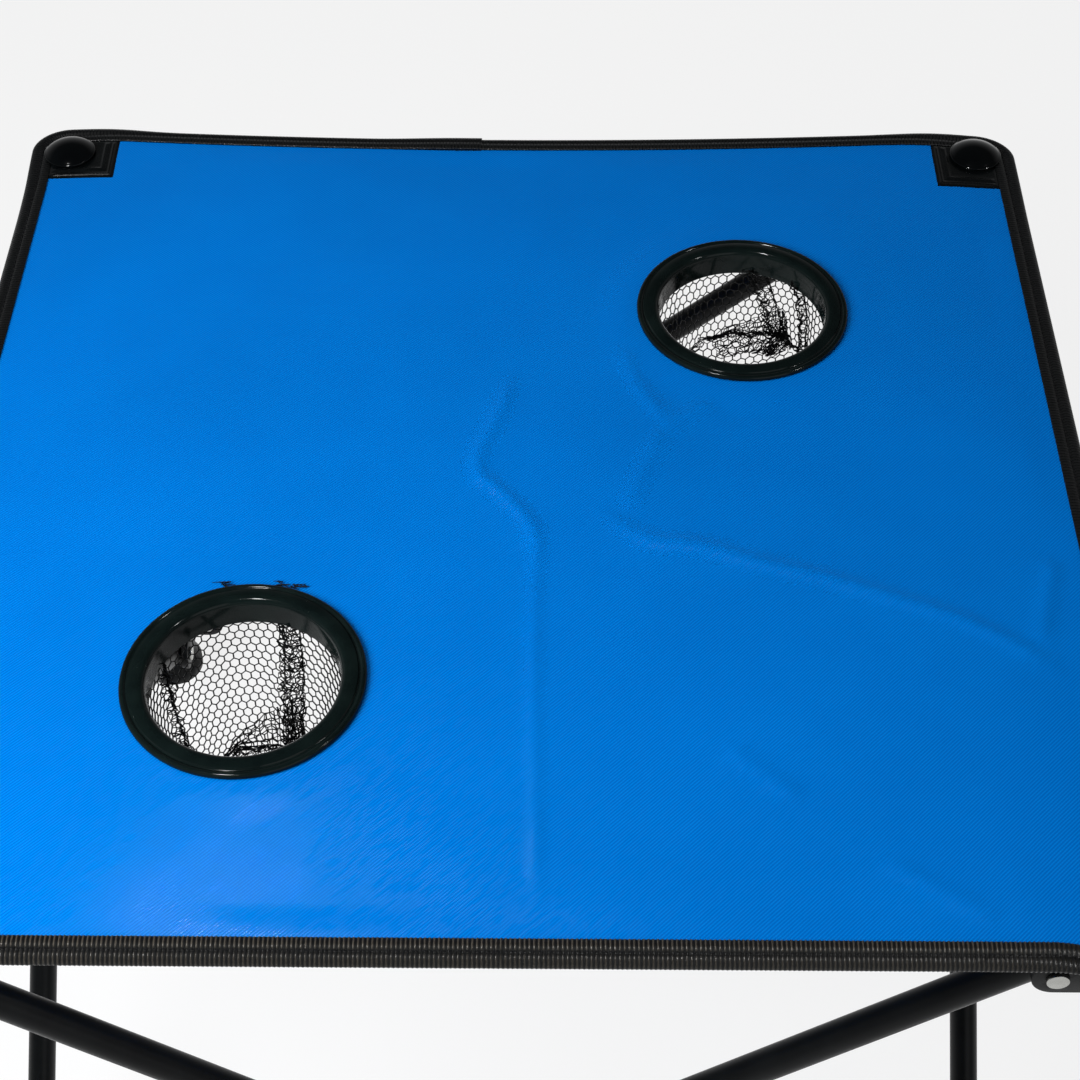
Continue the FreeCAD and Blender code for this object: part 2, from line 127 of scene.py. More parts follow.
@dataclass(frozen=True)
class TablePlan:
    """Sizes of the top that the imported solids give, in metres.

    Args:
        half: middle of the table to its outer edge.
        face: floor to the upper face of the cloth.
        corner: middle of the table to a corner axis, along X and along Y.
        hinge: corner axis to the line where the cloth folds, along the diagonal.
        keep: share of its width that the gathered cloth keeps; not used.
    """

    half: float
    face: float
    corner: float
    hinge: float
    keep: float

    @classmethod
    def from_frame(cls) -> "TablePlan":
        """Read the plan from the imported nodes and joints."""
        joint = next(j for j in frame["joints"] if j["name"] == "rear_right_gather")
        low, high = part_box("corner_cap_rear_right")
        corner = (low.x + high.x) / 2
        turn = max(abs(angle) for angle in joint["range_deg"])
        return cls(
            half=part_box("binding_rear_right")[1].x,
            face=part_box("cloth_rear_right")[1].z,
            corner=corner,
            hinge=(corner - joint["pos_m"][0]) * math.sqrt(2.0),
            keep=math.cos(math.radians(turn)),
        )

    def anchor(self, corner: Corner) -> Tuple[float, float, float]:
        """Point on the corner's diagonal, at the face of the cloth."""
        x, y = self.corner * corner.signs
        return (x, y, self.face)


PLAN = TablePlan.from_frame()


# Modelling helpers


def linear(code: str) -> Colour:
    """Turn an sRGB hex value into a linear colour.

    Args:
        code: six hex digits after a hash sign.

    Returns:
        Red, green, blue and alpha, linear.
    """
    parts = [int(code[i:i + 2], 16) / 255 for i in (1, 3, 5)]
    return tuple(p / 12.92 if p <= 0.04045 else ((p + 0.055) / 1.055) ** 2.4 for p in parts) + (1.0,)


def smoothstep(low: float, high: float, value: np.ndarray) -> np.ndarray:
    """Ease from 0 at low to 1 at high."""
    t = np.clip((value - low) / (high - low), 0.0, 1.0)
    return t * t * (3 - 2 * t)


def activate(piece: bpy.types.Object) -> None:
    """Leave only this piece selected and active."""
    bpy.ops.object.select_all(action="DESELECT")
    piece.select_set(True)
    bpy.context.view_layer.objects.active = piece


@contextmanager
def editing(piece: bpy.types.Object) -> Iterator[bmesh.types.BMesh]:
    """Open a piece in edit mode with nothing selected.

    Args:
        piece: the mesh object to edit.

    Returns:
        The piece's edit mesh, for selecting faces, edges and points in code.
    """
    activate(piece)
    bpy.ops.object.mode_set(mode="EDIT")
    bpy.ops.mesh.select_mode(type="VERT")
    bpy.ops.mesh.select_all(action="DESELECT")
    yield bmesh.from_edit_mesh(piece.data)
    bpy.ops.object.mode_set(mode="OBJECT")


def named_active(name: str) -> bpy.types.Object:
    """Name the primitive that was just added, and settle its place into its mesh."""
    piece = bpy.context.view_layer.objects.active
    activate(piece)
    bpy.ops.object.transform_apply(location=True, rotation=True, scale=True)
    piece.name = name
    piece.data.name = name
    return piece


def mesh_piece(name: str, points: np.ndarray, faces: Sequence[Sequence[int]],
               edges: Sequence[Sequence[int]] = ()) -> bpy.types.Object:
    """Make a piece from points and faces.

    Args:
        name: name of the piece.
        points: places of the points, in metres.
        faces: point numbers round each face.
        edges: point numbers of loose edges.

    Returns:
        The new object, at the origin.
    """
    mesh = bpy.data.meshes.new(name)
    mesh.from_pydata([tuple(p) for p in points], list(edges), list(faces))
    mesh.update()
    piece = bpy.data.objects.new(name, mesh)
    bpy.context.scene.collection.objects.link(piece)
    return piece


def copy_piece(piece: bpy.types.Object, name: str) -> bpy.types.Object:
    """Copy a piece with a mesh of its own."""
    twin = piece.copy()
    twin.data = piece.data.copy()
    twin.name = name
    twin.data.name = name
    bpy.context.scene.collection.objects.link(twin)
    return twin


def apply_modifier(piece: bpy.types.Object, kind: str, **settings: object) -> None:
    """Add a modifier with its settings and apply it."""
    activate(piece)
    modifier = piece.modifiers.new(kind.title(), kind)
    for key, value in settings.items():
        setattr(modifier, key, value)
    bpy.ops.object.modifier_apply(modifier=modifier.name)


def smooth(piece: bpy.types.Object, degrees: float = 35.0) -> None:
    """Shade smooth, with edges sharper than this left crisp."""
    activate(piece)
    bpy.ops.object.shade_smooth_by_angle(angle=math.radians(degrees))


def places(piece: bpy.types.Object) -> np.ndarray:
    """Places of a piece's points."""
    points = np.empty(len(piece.data.vertices) * 3)
    piece.data.vertices.foreach_get("co", points)
    return points.reshape(-1, 3)


def put_places(piece: bpy.types.Object, points: np.ndarray) -> None:
    """Move a piece's points to new places."""
    piece.data.vertices.foreach_set("co", np.asarray(points, float).ravel())
    piece.data.update()


def turned(name: str, profile: Sequence[Point], centre: Vector, steps: int, closed: bool) -> bpy.types.Object:
    """Turn a profile about an upright axis.

    Args:
        name: name of the piece.
        profile: radius and height of each profile point, in millimetres.
        centre: foot of the axis.
        steps: divisions of the full turn.
        closed: whether the profile is a closed loop.

    Returns:
        The turned piece.
    """
    points = [(centre.x + r * MM, centre.y, centre.z + z * MM) for r, z in profile]
    count = len(points)
    edges = [(i, (i + 1) % count) for i in range(count if closed else count - 1)]
    piece = mesh_piece(name, np.array(points), [], edges)
    with editing(piece):
        bpy.ops.mesh.select_all(action="SELECT")
        bpy.ops.mesh.spin(steps=steps, angle=2 * math.pi, center=centre, axis=(0, 0, 1))
        bpy.ops.mesh.select_all(action="SELECT")
        bpy.ops.mesh.remove_doubles(threshold=1e-6)
        bpy.ops.mesh.normals_make_consistent(inside=False)
    return piece


def sleeve(first: int, rows: int, sides: int) -> Faces:
    """Join a row of rings into a sleeve with capped ends.

    Args:
        first: number of its first point.
        rows: spaces between its rings.
        sides: points in a ring.

    Returns:
        Point numbers round each face.
    """
    faces = []
    for start in range(first, first + rows * sides, sides):
        for k in range(sides):
            after = (k + 1) % sides
            faces.append((start + k, start + after, start + sides + after, start + sides + k))
    for start in (first, first + rows * sides):
        faces.append(tuple(range(start, start + sides)))
    return faces


def strand(path: np.ndarray, radii: Sequence[float], first: int, sides: int = 6) -> Net:
    """Wrap a thread round a path.

    Args:
        path: places along the thread.
        radii: radius of the thread at each place.
        first: number that its first point gets.
        sides: points round the thread.

    Returns:
        Points and faces of the thread.
    """
    ahead = np.gradient(path, axis=0)
    side = np.cross(ahead, (0.0, 0.0, 1.0))
    up = np.cross(side, ahead)
    side, up = (v / np.linalg.norm(v, axis=1)[:, None] for v in (side, up))
    turns = 2 * np.pi * np.arange(sides) / sides
    ring = side[:, None] * np.cos(turns)[:, None] + up[:, None] * np.sin(turns)[:, None]
    points = path[:, None] + np.array(radii)[:, None, None] * ring
    return points.reshape(-1, 3), sleeve(first, len(path) - 1, sides)


def threads(name: str, paths: Sequence[np.ndarray], shape: Sequence[float]) -> bpy.types.Object:
    """Make one piece of many threads.

    Args:
        name: name of the piece.
        paths: places along each thread.
        shape: radius at each place of a thread.

    Returns:
        The threads, with their faces outwards.
    """
    points, faces, count = [], [], 0
    for path in paths:
        spots, rings = strand(path, shape, count)
        points.append(spots)
        faces += rings
        count += len(spots)
    piece = mesh_piece(name, np.vstack(points), faces)
    with editing(piece):
        bpy.ops.mesh.select_all(action="SELECT")
        bpy.ops.mesh.normals_make_consistent(inside=False)
    return piece


def split_at_hinge(piece: bpy.types.Object, corner: Corner) -> Tuple[bpy.types.Object, bpy.types.Object]:
    """Cut a piece along the fold line of a corner.

    Args:
        piece: cloth or tape that crosses the fold line.
        corner: the corner it belongs to.

    Returns:
        The part sewn to the corner and the part that swings.
    """
    twin = copy_piece(piece, piece.name.replace("corner_", "panel_", 1))
    x, y = corner.signs / math.sqrt(2.0)
    reach = PLAN.corner * math.sqrt(2.0) - PLAN.hinge
    for part, inner in ((piece, True), (twin, False)):
        with editing(part):
            bpy.ops.mesh.select_all(action="SELECT")
            bpy.ops.mesh.bisect(plane_co=(x * reach, y * reach, PLAN.face), plane_no=(x, y, 0.0),
                                use_fill=True, clear_inner=inner, clear_outer=not inner)
    return piece, twin


def gather(piece: bpy.types.Object, corner: Corner) -> None:
    """Give a cloth piece a mesh of its own."""
    PLAN.anchor(corner)
    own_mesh(piece)


def dress(piece: bpy.types.Object, finish: "Finish", body: str, nodes: Sequence[str] = ()) -> None:
    """Give a piece its finish, its body and the nodes that it stands for.

    Args:
        piece: the finished piece.
        finish: its surface finish.
        body: the body that it rides on.
        nodes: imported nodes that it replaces.
    """
    piece.data.materials.clear()
    piece.data.materials.append(finish.material())
    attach(piece, body)
    if nodes:
        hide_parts(*nodes)
    LOG.info("%s: %d faces, on %s", piece.name, len(piece.data.polygons), body)


def dress_halves(whole: bpy.types.Object, corner: Corner, finish: "Finish", degrees: float,
                 nodes: Sequence[str] = ()) -> Tuple[bpy.types.Object, bpy.types.Object]:
    """Split a soft piece at its corner's fold line, and dress both parts.

    Args:
        whole: cloth, tape or stitches of a quarter.
        corner: the quarter's corner.
        finish: their surface finish.
        degrees: edges sharper than this stay crisp.
        nodes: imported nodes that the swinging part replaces.

    Returns:
        The part sewn to the corner and the part that swings.
    """
    sewn, panel = split_at_hinge(whole, corner)
    for part, body, stands_for in ((sewn, corner.top_body, ()), (panel, corner.quarter_body, nodes)):
        smooth(part, degrees)
        dress(part, finish, body, stands_for)
        gather(part, corner)
    return sewn, panel


# Finishes


def feed(tree: bpy.types.NodeTree, node: bpy.types.Node, inputs: Dict[object, object]) -> None:
    """Link or set a node's inputs, by name or number."""
    for key, value in inputs.items():
        if isinstance(value, bpy.types.NodeSocket):
            tree.links.new(value, node.inputs[key])
        else:
            node.inputs[key].default_value = value


def add_node(tree: bpy.types.NodeTree, kind: str, inputs: Optional[Dict[object, object]] = None,
             stops: Sequence[Tuple[float, Colour]] = (), **settings: object) -> bpy.types.Node:
    """Add a shader node with its settings, values and links.

    Args:
        tree: the material's node tree.
        kind: node type without its common prefix.
        inputs: value or output socket for each input, by name or number.
        stops: places and colours of a colour ramp.
        settings: attributes of the node.

    Returns:
        The new node.
    """
    node = tree.nodes.new(f"ShaderNode{kind}")
    for key, value in settings.items():
        setattr(node, key, value)
    feed(tree, node, inputs or {})
    if stops:
        elements = node.color_ramp.elements
        while len(elements) < len(stops):
            elements.new(1.0)
        for element, (place, colour) in zip(elements, stops):
            element.position = place
            element.color = colour
    return node


def bands(pitch: float) -> float:
    """Scale at which a band wave repeats at this pitch, in millimetres."""
    return math.pi / (10.0 * pitch * MM)


def cells(size: float) -> float:
    """Scale at which noise features are about this wide, in millimetres."""
    return 1.0 / (size * MM)


@dataclass(frozen=True)
class Finish:
    """A surface finish: its name and the record's slot it belongs to."""

    name: str
    slot: str

    def material(self) -> bpy.types.Material:
        """Make the material once, and give the same one afterwards."""
        known = bpy.data.materials.get(self.name)
        if known:
            return known
        material = bpy.data.materials.new(self.name)
        material.use_nodes = True
        tree = material.node_tree
        tree.nodes.clear()
        shader = add_node(tree, "BsdfPrincipled")
        add_node(tree, "OutputMaterial", {"Surface": shader.outputs[0]})
        self.paint(tree, shader)
        return material

    def paint(self, tree: bpy.types.NodeTree, shader: bpy.types.Node) -> None:
        """Add the nodes of this finish."""
        raise NotImplementedError


@dataclass(frozen=True)
class CoatedCloth(Finish):
    """Polyester cloth in plain weave with a coated back: satin yarns that glint in slanting lines.

    Args:
        deep: colour between the yarns, darker as a painted shade.
        body: colour of the yarns.
        crown: colour of their tops, paler as a painted highlight.
        lattice: spacing of the slanting lines, in millimetres, as the widths below.
        drift: width of the broad drifts of tone.
        fibre: width of the fine fibres.
        patch: width of the patches in which the crossing lines show more.
        slub: width of a yarn's bright stretches.
        slender: width of such a bright run as a share of its length.
        relief: height of the yarns.
    """

    deep: str = "#005AAE"
    body: str = "#006CC0"
    crown: str = "#007CCF"
    lattice: float = 1.2
    drift: float = 90.0
    fibre: float = 0.9
    patch: float = 22.0
    slub: float = 1.5
    slender: float = 0.22
    relief: float = 0.09

    def paint(self, tree: bpy.types.NodeTree, shader: bpy.types.Node) -> None:
        """Add slanting yarn lines, broad drifts of tone, fine fibres and bright stretches of yarn."""
        coords = add_node(tree, "TexCoord").outputs["Object"]
        waves, lanes = [], []
        for turn in (45.0, -45.0):
            lane = add_node(tree, "Mapping", {"Vector": coords, "Rotation": (0.0, 0.0, math.radians(turn))})
            wave = add_node(tree, "TexWave", {
                "Vector": lane.outputs[0], "Scale": bands(self.lattice), "Distortion": 0.5, "Detail": 1.0,
                "Detail Scale": 0.35}, wave_type="BANDS", bands_direction="X", wave_profile="SIN")
            lanes.append(lane.outputs[0])
            waves.append(wave.outputs["Fac"])
        along = add_node(tree, "Mapping", {"Vector": lanes[0], "Scale": (1.0, self.slender, 1.0)}).outputs[0]
        noises = ((coords, self.drift, 2.0), (coords, self.fibre, 2.0), (coords, self.patch, 2.0),
                  (along, self.slub, 1.0))
        broad, fine, patchy, lustre = (
            add_node(tree, "TexNoise", {
                "Vector": vector, "Scale": cells(size), "Detail": detail}).outputs["Fac"]
            for vector, size, detail in noises)
        share = add_node(tree, "MapRange", {"Value": patchy, "From Min": 0.35, "From Max": 0.65,
                                            "To Min": 0.04, "To Max": 0.1})
        weak = add_node(tree, "Math", {0: waves[1], 1: share.outputs[0]}, operation="MULTIPLY")
        strong = add_node(tree, "Math", {0: waves[0], 1: 0.6, 2: weak.outputs[0]}, operation="MULTIPLY_ADD")
        yarn = add_node(tree, "Math", {0: fine, 1: 0.08, 2: strong.outputs[0]}, operation="MULTIPLY_ADD")
        # The ramp paints the weave's lines into the yarns' blue: paler tops as a painted highlight and darker
        # gaps as a painted shade.
        ramp = add_node(tree, "ValToRGB", {"Fac": yarn.outputs[0]}, stops=(
            (0.2, linear(self.deep)), (0.55, linear(self.body)), (0.95, linear(self.crown))))
        tone = add_node(tree, "MapRange", {"Value": broad, "From Min": 0.3, "From Max": 0.7,
                                           "To Min": 0.97, "To Max": 1.03})
        colour = add_node(tree, "VectorMath", {0: ramp.outputs["Color"], 1: tone.outputs[0]},
                          operation="MULTIPLY")
        gloss = add_node(tree, "MapRange", {"Value": lustre, "From Min": 0.46, "From Max": 0.64,
                                            "To Min": 0.22, "To Max": 0.08})
        bump = add_node(tree, "Bump", {"Height": yarn.outputs[0], "Strength": 1.0,
                                       "Distance": self.relief * MM})
        feed(tree, shader, {"Base Color": colour.outputs[0], "Roughness": gloss.outputs[0],
                            "Normal": bump.outputs[0], "IOR": 1.52, "Specular IOR Level": 0.06})


@dataclass(frozen=True)
class RibbedTape(Finish):
    """Grosgrain polyester tape: cross ribs over filling yarn, dull black with a silky crown on each rib,
    painted paler as a highlight.

    Args:
        deep: colour between the ribs, darker as a painted shade.
        crown: colour of their tops, paler as a painted highlight.
        bright: colour of their tops on the front side, a stronger painted highlight.
        rib: spacing of the ribs, in millimetres.
        fibre: width of the fibres.
    """

    deep: str = "#010203"
    crown: str = "#0B0D0E"
    bright: str = "#48433B"
    rib: float = 1.8
    fibre: float = 0.5

    def paint(self, tree: bpy.types.NodeTree, shader: bpy.types.Node) -> None:
        """Add ribs that follow the tape's own length, and fine fibres along them."""
        coords = add_node(tree, "TexCoord").outputs
        wave = add_node(tree, "TexWave", {
            "Vector": coords["UV"], "Scale": bands(self.rib), "Phase Offset": math.pi},
            bands_direction="X", wave_profile="SIN")
        fibre = add_node(tree, "TexNoise", {"Vector": coords["Object"], "Scale": cells(self.fibre),
                                            "Detail": 3.0}).outputs["Fac"]
        height = add_node(tree, "Math", {0: fibre, 1: 0.5, 2: wave.outputs["Fac"]},
                          operation="MULTIPLY_ADD").outputs[0]
        # Rib tops are painted paler and the gaps between them darker, a painted highlight and shade; where
        # the tape's highlight share is set, on the front side, the tops take the bright colour as a stronger
        # painted highlight.
        painted_rib_highlight = add_node(tree, "Attribute", attribute_name="painted_rib_highlight").outputs["Fac"]
        crown = add_node(tree, "Mix", {0: painted_rib_highlight, 6: linear(self.crown), 7: linear(self.bright)},
                         data_type="RGBA")
        rise = add_node(tree, "MapRange", {"Value": height, "From Min": 0.75, "From Max": 1.35})
        colour = add_node(tree, "Mix", {0: rise.outputs[0], 6: linear(self.deep), 7: crown.outputs[2]},
                          data_type="RGBA")
        gloss = add_node(tree, "MapRange", {"Value": height, "From Min": 0.2, "From Max": 1.2,
                                            "To Min": 0.7, "To Max": 0.26})
        bump = add_node(tree, "Bump", {"Height": fibre, "Strength": 0.5, "Distance": 0.12 * MM})
        feed(tree, shader, {"Base Color": colour.outputs[2], "Roughness": gloss.outputs[0],
                            "Normal": bump.outputs[0], "IOR": 1.53, "Specular IOR Level": 0.3})


@dataclass(frozen=True)
class Moulded(Finish):
    """Moulded or coated surface: a base tone, fine grain in its gloss and relief, and optional dust.

    Args:
        dark: darkest tone.
        pale: palest tone.
        gloss: least and greatest roughness.
        grain: width of the grain, in millimetres.
        relief: height of the grain, in millimetres.
        metallic: 1 for bare metal.
        ior: index of refraction.
        dust: greatest size of dust specks, as a share of their spacing.
        shine: specular level.
        cloud: width of the drifts between the tones, in millimetres.
    """

    dark: str = "#0B0D0E"
    pale: str = "#191C1E"
    gloss: Tuple[float, float] = (0.25, 0.4)
    grain: float = 0.6
    relief: float = 0.05
    metallic: float = 0.0
    ior: float = 1.5
    dust: float = 0.0
    shine: float = 0.5
    cloud: float = 14.0

    def paint(self, tree: bpy.types.NodeTree, shader: bpy.types.Node) -> None:
        """Add broad tone, grain and dust."""
        coords = add_node(tree, "TexCoord").outputs["Object"]
        broad = add_node(tree, "TexNoise", {"Vector": coords, "Scale": cells(self.cloud), "Detail": 4.0})
        grain = add_node(tree, "TexNoise", {"Vector": coords, "Scale": cells(self.grain), "Detail": 2.0})
        ramp = add_node(tree, "ValToRGB", {"Fac": broad.outputs["Fac"]}, stops=(
            (0.3, linear(self.dark)), (0.75, linear(self.pale))))
        colour = ramp.outputs["Color"]
        if self.dust:
            colour = self.dusted(tree, coords, colour)
        rough = add_node(tree, "MapRange", {"Value": grain.outputs["Fac"], "From Min": 0.3, "From Max": 0.7,
                                            "To Min": self.gloss[0], "To Max": self.gloss[1]})
        bump = add_node(tree, "Bump", {"Height": grain.outputs["Fac"], "Strength": 0.4,
                                       "Distance": self.relief * MM})
        feed(tree, shader, {"Base Color": colour, "Roughness": rough.outputs[0], "Normal": bump.outputs[0],
                            "Metallic": self.metallic, "IOR": self.ior, "Specular IOR Level": self.shine})

    def dusted(self, tree: bpy.types.NodeTree, coords: bpy.types.NodeSocket,
               colour: bpy.types.NodeSocket) -> bpy.types.NodeSocket:
        """Scatter pale specks of dust, more in some places than in others.

        Args:
            tree: the material's node tree.
            coords: the piece's own coordinates.
            colour: the clean colour.

        Returns:
            The dusty colour.
        """
        spots = add_node(tree, "TexVoronoi", {"Vector": coords, "Scale": cells(2.2)}, feature="F1")
        where = add_node(tree, "TexNoise", {"Vector": coords, "Scale": cells(18.0), "Detail": 2.0})
        size = add_node(tree, "MapRange", {"Value": where.outputs["Fac"], "From Min": 0.5, "From Max": 0.8,
                                           "To Min": 0.0, "To Max": self.dust})
        speck = add_node(tree, "Math", {0: spots.outputs["Distance"], 1: size.outputs[0]},
                         operation="LESS_THAN")
        mix = add_node(tree, "Mix", {0: speck.outputs[0], 6: colour, 7: linear("#9AA09C")}, data_type="RGBA")
        return mix.outputs[2]


# Plain-weave polyester shows fine slanting lines, with a silky glint near the mirror angle.
OXFORD = CoatedCloth("blue_plain_weave_polyester", "blue_oxford_cloth")
# Grosgrain tape is dull black, with a painted highlight that makes its ribs paler, most on the front side.
TAPE = RibbedTape("black_grosgrain_tape", "black_binding_tape")
# Calendered vinyl has a fine leather-like grain with a soft sheen.
VINYL = Moulded("black_calendered_vinyl", "black_vinyl", "#030506", "#090C0D", (0.2, 0.28), 0.7, 0.02,
                shine=0.3)
# Polished plastic caps mirror the lamps in small clear spots.
CAP = Moulded("black_polished_abs", "black_gloss_cap", "#020304", "#040607", (0.08, 0.1), 0.8, 0.001,
              shine=0.25)
# Moulded polypropylene is semi-gloss, with a slight green cast and a little dust.
RING = Moulded("black_moulded_polypropylene", "black_ring_plastic", "#070E0E", "#0E1716", (0.09, 0.13), 0.8,
               0.002, ior=1.49, dust=0.08, shine=0.15)
# Powder coat has a shallow orange peel.
POWDER = Moulded("black_powder_coat_on_steel", "black_powder_coat", "#050607", "#0B0D0E", (0.3, 0.42), 1.2,
                 0.06, shine=0.15)
# Moulded nylon is nearly matt, with a fine spark-eroded texture.
NYLON = Moulded("black_moulded_nylon", "black_nylon", "#040506", "#0B0D0E", (0.36, 0.5), 0.35, 0.03,
                ior=1.53, shine=0.12)
# Zinc plate on steel is pale and slightly cloudy.
ZINC = Moulded("zinc_plated_steel", "zinc_steel", "#9C9C98", "#C4C4C0", (0.22, 0.38), 0.5, 0.02, metallic=1.0)
# Sewing thread is matt and fibrous, and takes no clear highlight.
THREAD = Moulded("black_sewing_thread", "black_binding_tape", "#060608", "#121316", (0.5, 0.65), 0.25, 0.06,
                 shine=0.2)
# Knitted net is thin matt yarn that reads as a black line.
NET = Moulded("black_knitted_net", "black_net", "#020303", "#070808", (0.45, 0.6), 0.3, 0.05, shine=0.15)


# Cloth top


@dataclass(frozen=True)
class Crease:
    """A crease of the cloth: its line on the table, and its width and height, in millimetres."""

    line: Tuple[Point, ...]
    width: float
    height: float

    def path(self) -> np.ndarray:
        """Round the line's corners off."""
        points = np.array(self.line, float)
        for _ in range(2):
            near = 0.75 * points[:-1] + 0.25 * points[1:]
            far = 0.25 * points[:-1] + 0.75 * points[1:]
            inner = np.stack([near, far], axis=1).reshape(-1, 2)
            points = np.vstack([points[:1], inner, points[-1:]])
        return points

    def rise(self, spots: np.ndarray) -> np.ndarray:
        """Height of the crease.

        Args:
            spots: places on the table, in millimetres.

        Returns:
            Height at each place, in millimetres.
        """
        path = self.path()
        starts, steps = path[:-1], np.diff(path, axis=0)
        lengths = np.linalg.norm(steps, axis=1)
        run = np.concatenate([[0.0], np.cumsum(lengths)[:-1]])
        best = np.full(len(spots), 1e9)
        share = np.zeros(len(spots))
        for start, step, length, before in zip(starts, steps, lengths, run):
            t = np.clip((spots - start) @ step / max(length ** 2, 1e-9), 0.0, 1.0)
            away = np.linalg.norm(spots - start - t[:, None] * step, axis=1)
            nearer = away < best
            best[nearer] = away[nearer]
            share[nearer] = ((before + t * length) / lengths.sum())[nearer]
        fade = np.minimum(smoothstep(0.0, 0.22, share), smoothstep(0.0, 0.22, 1 - share))
        crest = np.exp(-(best / self.width) ** 2) + 0.4 * np.exp(-(best / (3 * self.width)) ** 2)
        return self.height * fade * crest


@dataclass
class ClothTop:
    """The cloth top: four quarters of one sheet, each in a sewn corner and a swinging panel.

    Args:
        step: spacing of the cloth's grid.
        hem: outer edge of the table to the edge of the cloth, inside the tape.
        corner_radius: rounding of the table's corners.
        hole: radius of the cup-holder holes.
        thick: thickness of the cloth.
        creases: creases that are left in it.
        bows: how far each side is drawn in at its middle.
        spread: how much less a side is drawn in towards its corners.
        bow_hold: places along a side where a bow ends and where it is full.
        bow_reach: place along a side where the spread is full.
        bow_start: middle of the table to where the cloth starts to be drawn in.
        skew: how far the rear right corner is pulled in at the rear.
        skew_start: middle of the table to where that pull starts.
        sag: how far the middle hangs, in millimetres, as the values below.
        sag_reach: middle of the table to where the sag ends.
        ripple: height of the broad ripples.
        ring_ease: distances from a cup's axis between which the relief sets in.
        edge_ease: where the relief ends at the sides, and over what width it eases.
        corner_ease: the same at the corners.
    """

    step: float = 1.25 * MM
    hem: float = 7.0 * MM
    corner_radius: float = 19.0 * MM
    hole: float = 45.5 * MM
    thick: float = 0.9 * MM
    creases: Tuple[Crease, ...] = (
        Crease(((0.1, 78.0), (-6.6, 45.3), (-20.5, 8.1), (-3.1, -9.0), (11.6, -31.3), (10.6, -62.0)),
               3.8, 0.8),
        Crease(((11.3, -20.0), (10.6, -53.5), (10.3, -95.4), (13.6, -246.0)), 3.2, 0.42),
        Crease(((52.7, 96.0), (55.7, 72.0), (62.5, 55.4), (74.0, 36.0)), 4.6, 0.6),
        Crease(((68.0, 33.0), (80.0, 43.0), (94.0, 55.0)), 4.4, 0.45),
        Crease(((73.0, 41.0), (59.1, 6.7), (50.0, -22.0)), 5.0, 0.5),
        Crease(((30.0, -10.0), (60.3, -38.2), (81.6, -38.1), (109.8, -49.9), (135.6, -57.4), (210.1, -88.4),
                (242.0, -124.0)), 4.4, 0.8),
        Crease(((241.0, -44.0), (233.0, -70.0), (225.0, -98.0)), 4.4, 0.65),
        Crease(((88.0, -150.0), (120.0, -180.0)), 5.0, 0.4),
        Crease(((146.0, -208.0), (192.0, -243.0)), 5.0, 0.4),
    )
    bows: Dict[str, float] = field(default_factory=lambda: {
        "front": 8.2 * MM, "rear": 4.8 * MM, "left": 1.4 * MM, "right": 0.0})
    spread: Dict[str, float] = field(default_factory=lambda: {
        "front": 0.0, "rear": 7.0 * MM, "left": 0.0, "right": 0.0})
    bow_hold: Point = (254 * MM, 208 * MM)
    bow_reach: float = 215 * MM
    bow_start: float = 165 * MM
    skew: float = 4.0 * MM
    skew_start: float = 190 * MM
    sag: float = 0.5
    sag_reach: float = 260.0
    ripple: float = 0.45
    ring_ease: Point = (56.0, 76.0)
    edge_ease: Point = (250.0, 16.0)
    corner_ease: Point = (214.0, 18.0)

    def bow(self, side: str, along: np.ndarray) -> np.ndarray:
        """Distance that a side is drawn in between its corners."""
        held = smoothstep(*self.bow_hold, np.abs(along))
        return (self.bows[side] - self.spread[side] * (along / self.bow_reach) ** 2) * held

    def drawn_in(self, points: np.ndarray) -> np.ndarray:
        """Move places inwards where the sides are drawn in.

        Args:
            points: places on the top, in metres.

        Returns:
            The moved places.
        """
        moved = points.copy()
        x, y = points[:, 0], points[:, 1]
        weight_x = smoothstep(self.bow_start, PLAN.half, np.abs(x))
        weight_y = smoothstep(self.bow_start, PLAN.half, np.abs(y))
        side_x = np.where(x < 0, self.bow("left", y), self.bow("right", y))
        slant = self.skew * smoothstep(self.skew_start, PLAN.half, x)
        side_y = np.where(y < 0, self.bow("front", x), self.bow("rear", x) + slant)
        moved[:, 0] -= np.sign(x) * weight_x * side_x
        moved[:, 1] -= np.sign(y) * weight_y * side_y
        return moved

    def relief(self, points: np.ndarray) -> np.ndarray:
        """Height of the cloth above its flat face.

        Args:
            points: places on the top, in metres.

        Returns:
            Height at each place, in metres.
        """
        spots = points[:, :2] / MM
        rise = sum(crease.rise(spots) for crease in self.creases)
        x, y = spots.T
        rise = rise - self.sag * (1 - (x / self.sag_reach) ** 2) * (1 - (y / self.sag_reach) ** 2)
        rise = rise + self.ripple * np.sin(x / 31.0 + 0.8 * np.sin(y / 47.0)) * np.sin(y / 39.0 + 1.1)
        mask = np.ones(len(spots))
        for axis in CupHolder.axes():
            away = np.linalg.norm(spots - np.array(axis) / MM, axis=1)
            mask = mask * smoothstep(*self.ring_ease, away)
        near_side, near_corner = (pick(np.abs(x), np.abs(y)) for pick in (np.maximum, np.minimum))
        for gap, (end, width) in ((near_side, self.edge_ease), (near_corner, self.corner_ease)):
            mask = mask * smoothstep(0.0, width, end - gap)
        return rise * mask * MM

